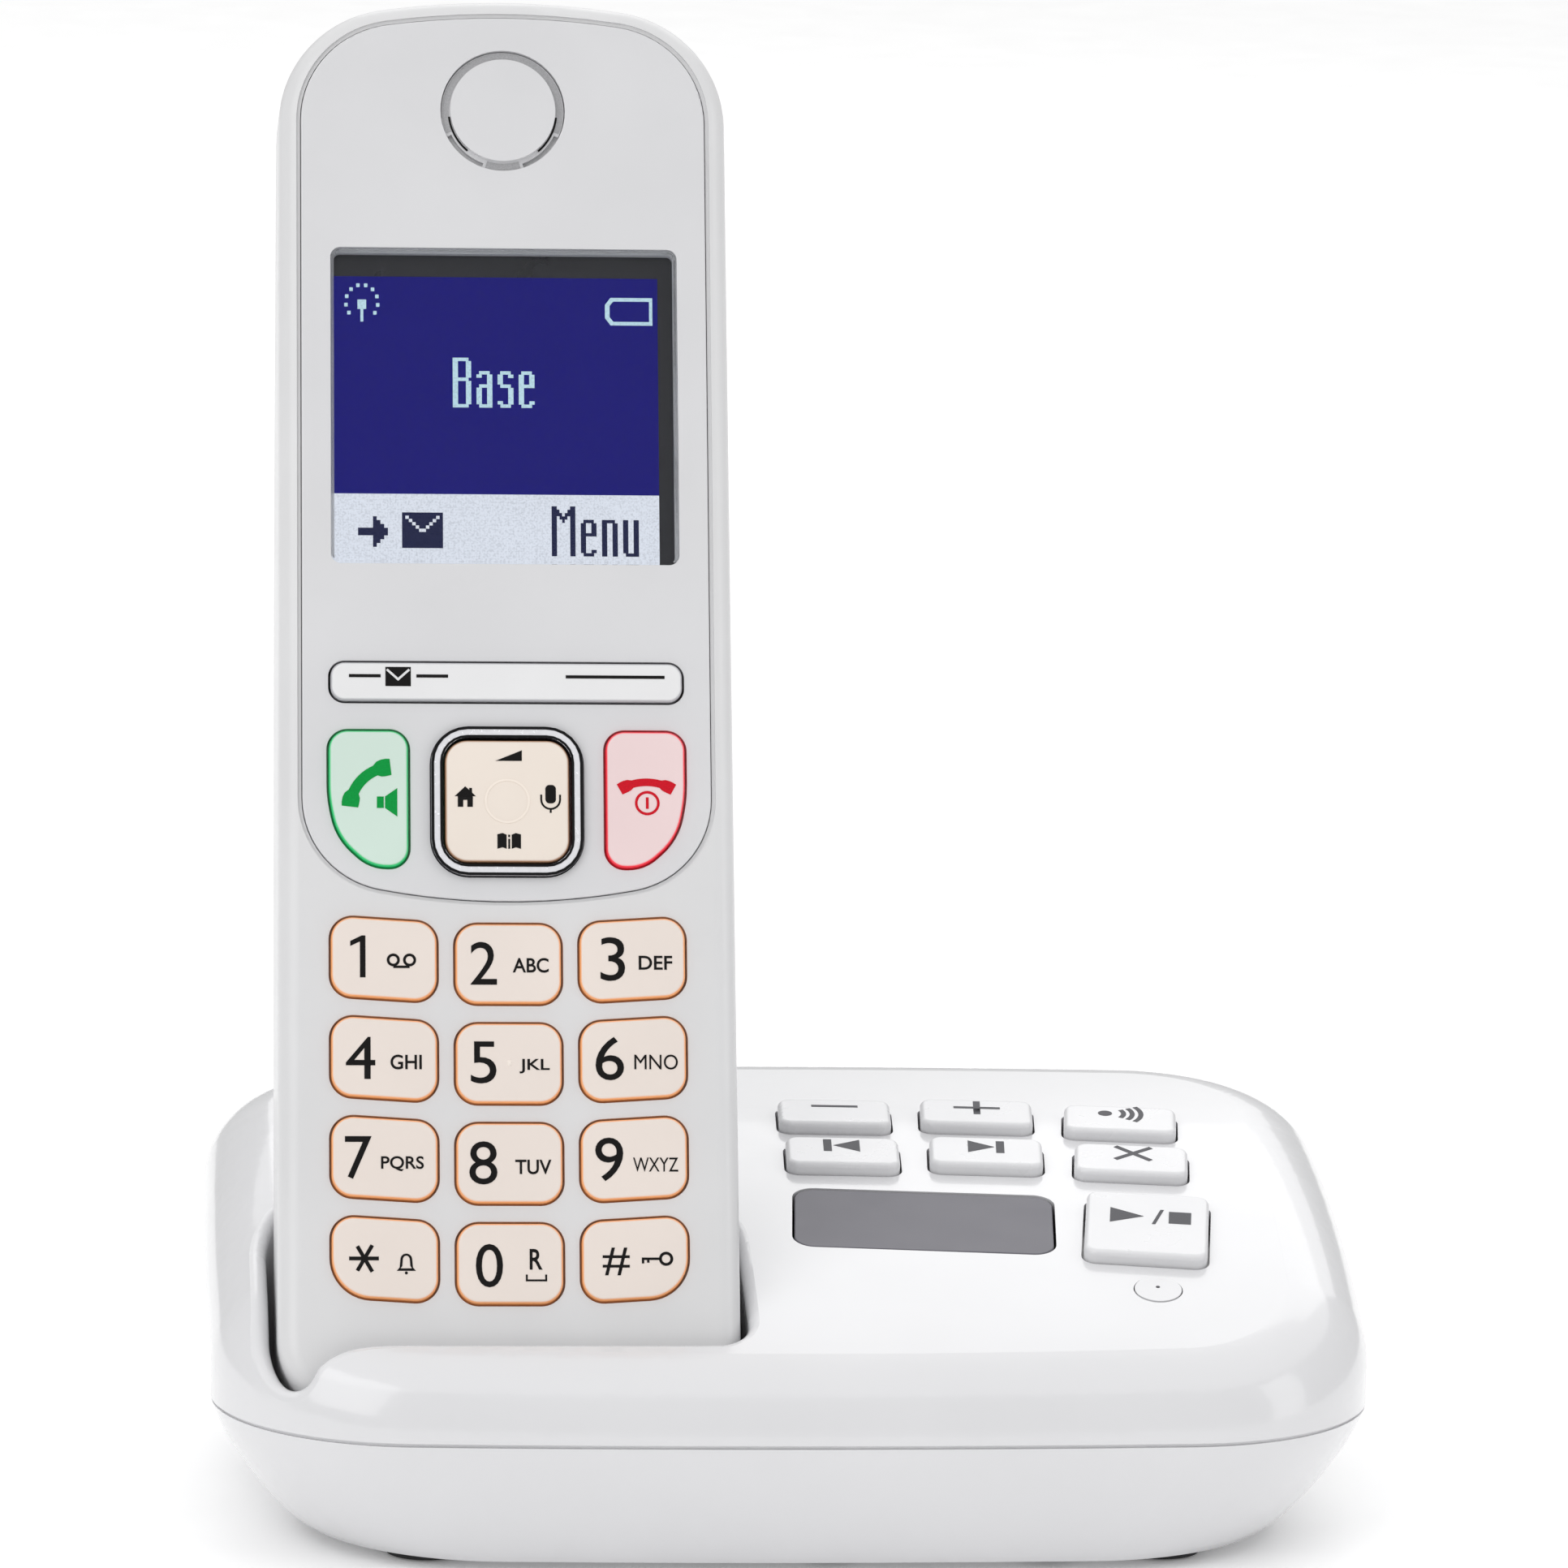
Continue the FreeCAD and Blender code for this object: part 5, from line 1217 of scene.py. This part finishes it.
@dataclass
class Handset:
    """The handset's shells and everything between them.

    Args:
        seat: the plane of the handset's face.
        groove_depth: how deep the groove round the earpiece's disc is.
        groove_middle: the radius of the grey band of painted shade in it.
        groove_width: the width of that band.
        disc_edge: the radius of the dark arcs of painted shadow in the sound slots beside the disc.
    """

    seat: Seat
    groove_depth: float = 0.5
    groove_middle: float = 6.15
    groove_width: float = 0.74
    disc_edge: float = 5.8

    def dress_outside(self) -> None:
        """Gives the shells, panel, cap, cover and pads their finishes."""
        dress(Moulded("handset_white", paint(214, 214, 215), 0.36, 0.3, 0.0018, coat=0.15),
              "handset_front_shell", "handset_rear_shell")
        dress(Moulded("panel_white", paint(212, 212, 214), 0.33, 0.3, 0.0014, coat=0.2),
              "face_panel", "earpiece_cap")
        dress(Moulded("cover_white", paint(213, 213, 214), 0.4, 0.28, 0.003), "battery_cover")
        dress(Plated("pad_gold", paint(226, 190, 120), roughness=0.22), "handset_charge_pads")

    def shade_earpiece(self) -> None:
        """Paints shade in the groove round the earpiece's disc: a grey band, and dark arcs in the
        slots.
        """
        low, high = self.seat.span("earpiece_cap")
        groove = self.seat.moved((low.x + high.x) / 2, (low.y + high.y) / 2, -self.groove_depth)
        # painted shade: a grey band along the groove, broken where the slots are
        band = Artwork()
        for start, end in ((-22, 202), (253, 287)):
            arc = arc_loop((0, 0), self.groove_middle, start, end, 40)
            band.draw([[stroke(arc, self.groove_width)]])
        band.settle("earpiece_groove_shade", groove, "handset",
                    InkAndPaintedLight("groove_shade_grey", paint(174, 174, 176)).make())
        # painted shadow: dark arcs where the sound slots open beside the disc
        edge = Artwork()
        for start, end in ((186, 229), (-49, -6)):
            edge.draw([[stroke(arc_loop((0, 0), self.disc_edge, start, end, 16), 0.2)]])
        edge.settle("earpiece_slot_shadow", groove.moved(z=MARK_THICKNESS), "handset",
                    InkAndPaintedLight("slot_shadow_black", paint(14, 14, 15)).make())

    def dress_inside(self) -> None:
        """Gives the working parts their finishes."""
        dress(Moulded("dark_cone", paint(34, 34, 37), 0.6, 0.5, 0.02),
              "earpiece_receiver", "ringer_speaker", "microphone")
        dress(Moulded("dome_mat", paint(196, 198, 200), 0.55, 0.8, 0.01),
              "keypad_mat", "base_key_mat")
        dress(Circuit("solder_mask", paint(22, 84, 48), paint(58, 128, 74)),
              "handset_board", "base_board")
        dress(Moulded("rocker_grey", paint(120, 122, 126), 0.45), "nav_rocker")
        dress(Plated("spring_leaf", paint(200, 202, 206), roughness=0.25), "battery_springs")
        dress(Plated("contact_strip", paint(206, 206, 208), roughness=0.3, brushed=6.0),
              "battery_contacts")

    def dress_cells(self) -> None:
        """Gives the two cells sleeves with bands, one cell each way round."""
        silver, black = paint(205, 206, 208), paint(30, 31, 34)
        sleeve, stripe = paint(52, 128, 96), paint(232, 234, 230)
        upright = ((0.035, silver), (0.055, black), (0.3, stripe), (0.33, black), (0.965, sleeve),
                   (1.0, silver))
        turned = ((0.035, silver), (0.67, sleeve), (0.7, black), (0.945, stripe), (0.965, black),
                  (1.0, silver))
        loose = Seat(Vector(), self.seat.right, self.seat.up)
        for node, bands in (("battery_a", upright), ("battery_b", turned)):
            low, high = loose.span(node)
            dress(Banded(f"{node}_sleeve", tuple(self.seat.up), low.y * MM, (high.y - low.y) * MM,
                         bands), node)

    def build(self) -> None:
        """Builds everything of the handset."""
        self.dress_outside()
        self.dress_inside()
        self.dress_cells()
        self.shade_earpiece()
        Display(self.seat).build()
        Keypad(self.seat).build()


# ---------------------------------------------------------------- the base

@dataclass(frozen=True)
class DeckKey:
    """One key on the base's top.

    Args:
        node: the key.
        turn: how far it is turned, in degrees.
        icon: what is printed on it.
        at: where the print's middle is, from the key's middle.
    """

    node: str
    turn: float
    icon: Icon
    at: Point


DECK_KEYS = (
    DeckKey("key_minus", -2.5, Icon.MINUS, (0.05, 1.4)),
    DeckKey("key_plus", -4.0, Icon.PLUS, (0.05, 1.0)),
    DeckKey("key_page", -6.0, Icon.PAGING, (0.0, 1.2)),
    DeckKey("key_previous", -2.5, Icon.PREVIOUS, (-0.1, 1.2)),
    DeckKey("key_next", -4.0, Icon.NEXT, (0.0, 0.9)),
    DeckKey("key_delete", -6.0, Icon.DELETE, (0.2, 1.2)),
    DeckKey("key_play", -7.0, Icon.PLAY_STOP, (0.2, 1.5)),
)


@dataclass
class Base:
    """The base: shells, keys, window, sockets, feet and what is inside.

    Args:
        wire_count: how many wires the line socket has.
        wire_pitch: how far apart they are.
        wire_tilt: how far they slope down into the socket, in degrees.
        wire_place: the wires' middle, ahead of the socket's mouth and above its floor.
        pin_radius: the radius of the power socket's pin.
        pin_length: how long the pin is.
        pin_depth: how far its root is from the socket's mouth.
    """

    wire_count: int = 4
    wire_pitch: float = 1.1
    wire_tilt: float = -14.0
    wire_place: Point = (-5.8, 4.2)
    pin_radius: float = 0.65
    pin_length: float = 8.0
    pin_depth: float = 10.5

    def dress(self) -> None:
        """Gives the base's nodes their finishes."""
        dress(Moulded("base_gloss", paint(219, 219, 221), 0.2, 1.5, 0.0012, 0.6, 0.01),
              "base_top_shell", "base_bottom_shell")
        dress(Moulded("deck_key_white", paint(221, 221, 223), 0.28, 0.5, 0.001, 0.3),
              *[key.node for key in DECK_KEYS], "key_answer")
        dress(Moulded("smoked_window", paint(106, 105, 112), 0.32, 4.0, shine=0.2), "base_window")
        dress(Moulded("counter_grey", paint(96, 98, 94), 0.4), "counter_display")
        dress(Moulded("foot_rubber", paint(34, 34, 36), 0.7, 0.6, 0.03, mottle=0.08), "base_feet")
        dress(Moulded("socket_black", paint(40, 40, 43), 0.45, 0.4, 0.004), "power_socket")
        dress(Moulded("socket_grey", paint(60, 60, 64), 0.4, 0.4, 0.004), "line_socket")
        dress(Moulded("base_cone", paint(32, 32, 35), 0.65, 0.6, 0.03), "base_speaker")
        dress(Plated("screw_steel", paint(176, 178, 182), roughness=0.28), "base_screws")
        dress(Plated("charge_gold", paint(226, 190, 120), brushed=3.0),
              "charge_contact_left", "charge_contact_right")

    def print_keys(self) -> None:
        """Prints the keys on the base's top."""
        ink = InkAndPaintedLight("deck_ink", paint(88, 88, 92)).make()
        for key in DECK_KEYS:
            art = Artwork().draw(ICONS[key.icon], *key.at)
            art.settle(f"{key.node}_print", deck_seat(key.node, key.turn), key.node, ink)
        dot = Artwork().draw([[arc_loop((0, 0), 0.22, steps=16)]], 0.0, 0.4)
        dot.settle("key_answer_dot", deck_seat("key_answer", 0.0), "key_answer", ink)

    def wire_line_socket(self) -> None:
        """Puts the sprung wires in the line socket."""
        low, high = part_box("line_socket")
        wires = []
        for i in range(self.wire_count):
            wire = plate(-0.2, -4.0, 0.2, 4.0, 0.35, 0.08)
            wire.location = ((i - (self.wire_count - 1) / 2) * self.wire_pitch, 0.0, 0.0)
            wire.rotation_euler = (math.radians(self.wire_tilt), 0.0, 0.0)
            wires.append(wire)
        mouth = Seat(Vector(((low.x + high.x) / 2, high.y, low.z)), Vector((1, 0, 0)),
                     Vector((0, 1, 0)))
        place = mouth.moved(y=self.wire_place[0], z=self.wire_place[1])
        settle(joined(wires), "line_socket_wires", place, "base",
               Plated("wire_gold", paint(230, 196, 124)).make())

    def pin_power_socket(self) -> None:
        """Puts the pin in the power socket."""
        low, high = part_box("power_socket")
        mouth = Seat(Vector(((low.x + high.x) / 2, high.y, (low.z + high.z) / 2)),
                     Vector((-1, 0, 0)), Vector((0, 0, 1)))
        pin = peg(self.pin_radius, self.pin_length, 0.9)
        settle(pin, "power_socket_pin", mouth.moved(z=-self.pin_depth), "base",
               Plated("pin_nickel", paint(210, 210, 212)).make(), 40.0)

    def build(self) -> None:
        """Builds everything of the base."""
        self.dress()
        self.print_keys()
        self.wire_line_socket()
        self.pin_power_socket()


# ---------------------------------------------------------------- the studio

@dataclass(frozen=True)
class Softbox:
    """A rectangular light.

    Args:
        name: its name.
        azimuth: its turn round the object, in degrees.
        elevation: its height above the horizon, in degrees.
        size: its width and height, in metres.
        distance: how far it stands off, in metres.
        power: how strong it is, in watts.
    """

    name: str
    azimuth: float
    elevation: float
    size: Point
    distance: float
    power: float


SOFTBOXES = (Softbox("key_softbox", -42.0, 34.0, (0.8, 1.0), 1.2, 4.0),
             Softbox("right_softbox", 66.0, 14.0, (0.4, 1.0), 1.1, 1.8),
             Softbox("rear_softbox", 165.0, 35.0, (1.0, 0.8), 1.2, 2.0))


@dataclass
class Studio:
    """The floor, the lights and the camera.

    Args:
        azimuth: the camera's turn round the object, in degrees.
        elevation: its height above the horizon, in degrees.
        roll: its turn about its own view, in degrees.
        distance: how far it stands from what it looks at, in metres.
        target: what it looks at.
        focal: its focal length, as a share of the frame's width.
        sensor: the frame's width, in millimetres.
        ambient: how much light comes from all round.
        backdrop: how bright the space behind the object looks.
        overhead: how strong the wide overhead panel is.
        overhead_angle: how wide that panel spreads, in degrees.
        overhead_tilt: how far it leans, in degrees.
    """

    azimuth: float = -4.704
    elevation: float = 10.441
    roll: float = 1.136
    distance: float = 1.08731
    target: tuple[float, float, float] = (-0.000215, 0.0, 0.077194)
    focal: float = 6.4542
    sensor: float = 36.0
    ambient: float = 0.5
    backdrop: float = 1.05
    overhead: float = 1.3
    overhead_angle: float = 100.0
    overhead_tilt: float = -12.0

    @staticmethod
    def toward(azimuth: float, elevation: float) -> Vector:
        """Gives the direction from the object to a place round it."""
        a, e = math.radians(azimuth), math.radians(elevation)
        return Vector((math.sin(a) * math.cos(e), -math.cos(a) * math.cos(e), math.sin(e)))

    def set_camera(self) -> None:
        """Places the camera."""
        back = self.toward(self.azimuth, self.elevation)
        right = (-back).cross(Vector((0, 0, 1))).normalized()
        up = right.cross(-back)
        roll = math.radians(self.roll)
        across = right * math.cos(roll) + up * math.sin(roll)
        upward = -right * math.sin(roll) + up * math.cos(roll)
        data = bpy.data.cameras.new("camera")
        data.sensor_width, data.lens = self.sensor, self.sensor * self.focal
        data.clip_start, data.clip_end = 0.05, 50.0
        camera = bpy.data.objects.new("camera", data)
        turn = Matrix((across, upward, back)).transposed().to_4x4()
        camera.matrix_world = Matrix.Translation(Vector(self.target) + back * self.distance) @ turn
        bpy.context.collection.objects.link(camera)
        bpy.context.scene.camera = camera

    def hang_softboxes(self) -> None:
        """Hangs the softboxes round the object and the wide panel over it."""
        for box in SOFTBOXES:
            data = bpy.data.lights.new(box.name, "AREA")
            data.shape, data.energy = "RECTANGLE", box.power
            data.size, data.size_y = box.size
            lamp = bpy.data.objects.new(box.name, data)
            direction = self.toward(box.azimuth, box.elevation)
            lamp.location = Vector(self.target) + direction * box.distance
            lamp.rotation_euler = direction.to_track_quat("Z", "Y").to_euler()
            bpy.context.collection.objects.link(lamp)
        data = bpy.data.lights.new("overhead_panel", "SUN")
        data.energy, data.angle = self.overhead, math.radians(self.overhead_angle)
        lamp = bpy.data.objects.new("overhead_panel", data)
        lamp.rotation_euler = (math.radians(self.overhead_tilt), 0.0, 0.0)
        bpy.context.collection.objects.link(lamp)

    def set_world(self) -> None:
        """Sets the light that comes from all round, and the white space behind the object."""
        world = bpy.data.worlds.new("studio")
        world.use_nodes = True
        tree = world.node_tree
        sky = tree.nodes["Background"]
        sky.inputs["Color"].default_value = (1.0, 1.0, 1.0, 1.0)
        path = tree.nodes.new("ShaderNodeLightPath")
        seen = tree.nodes.new("ShaderNodeMapRange")
        seen.inputs["To Min"].default_value = self.ambient
        seen.inputs["To Max"].default_value = self.backdrop
        tree.links.new(path.outputs["Is Camera Ray"], seen.inputs["Value"])
        tree.links.new(seen.outputs["Result"], sky.inputs["Strength"])
        bpy.context.scene.world = world

    def lay_floor(self) -> None:
        """Lays the plain pale floor that the object stands on."""
        bpy.ops.object.select_all(action="DESELECT")
        bpy.ops.mesh.primitive_plane_add(size=8.0, location=(0.0, 0.0, -0.0002))
        floor = bpy.context.view_layer.objects.active
        floor.name = "floor"
        paper = Moulded("floor_white", paint(249, 249, 249), 0.6, 2.0, 0.0, glow=0.12)
        floor.data.materials.append(paper.make())

    def build(self) -> None:
        """Sets up the whole studio."""
        self.lay_floor()
        self.hang_softboxes()
        self.set_world()
        self.set_camera()
        bpy.context.scene.view_settings.view_transform = "Standard"


def main() -> None:
    """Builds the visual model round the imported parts."""
    logging.basicConfig(level=logging.INFO, format="%(message)s")
    Handset(handset_seat()).build()
    Base().build()
    Studio().build()


if __name__ == "__main__":
    main()
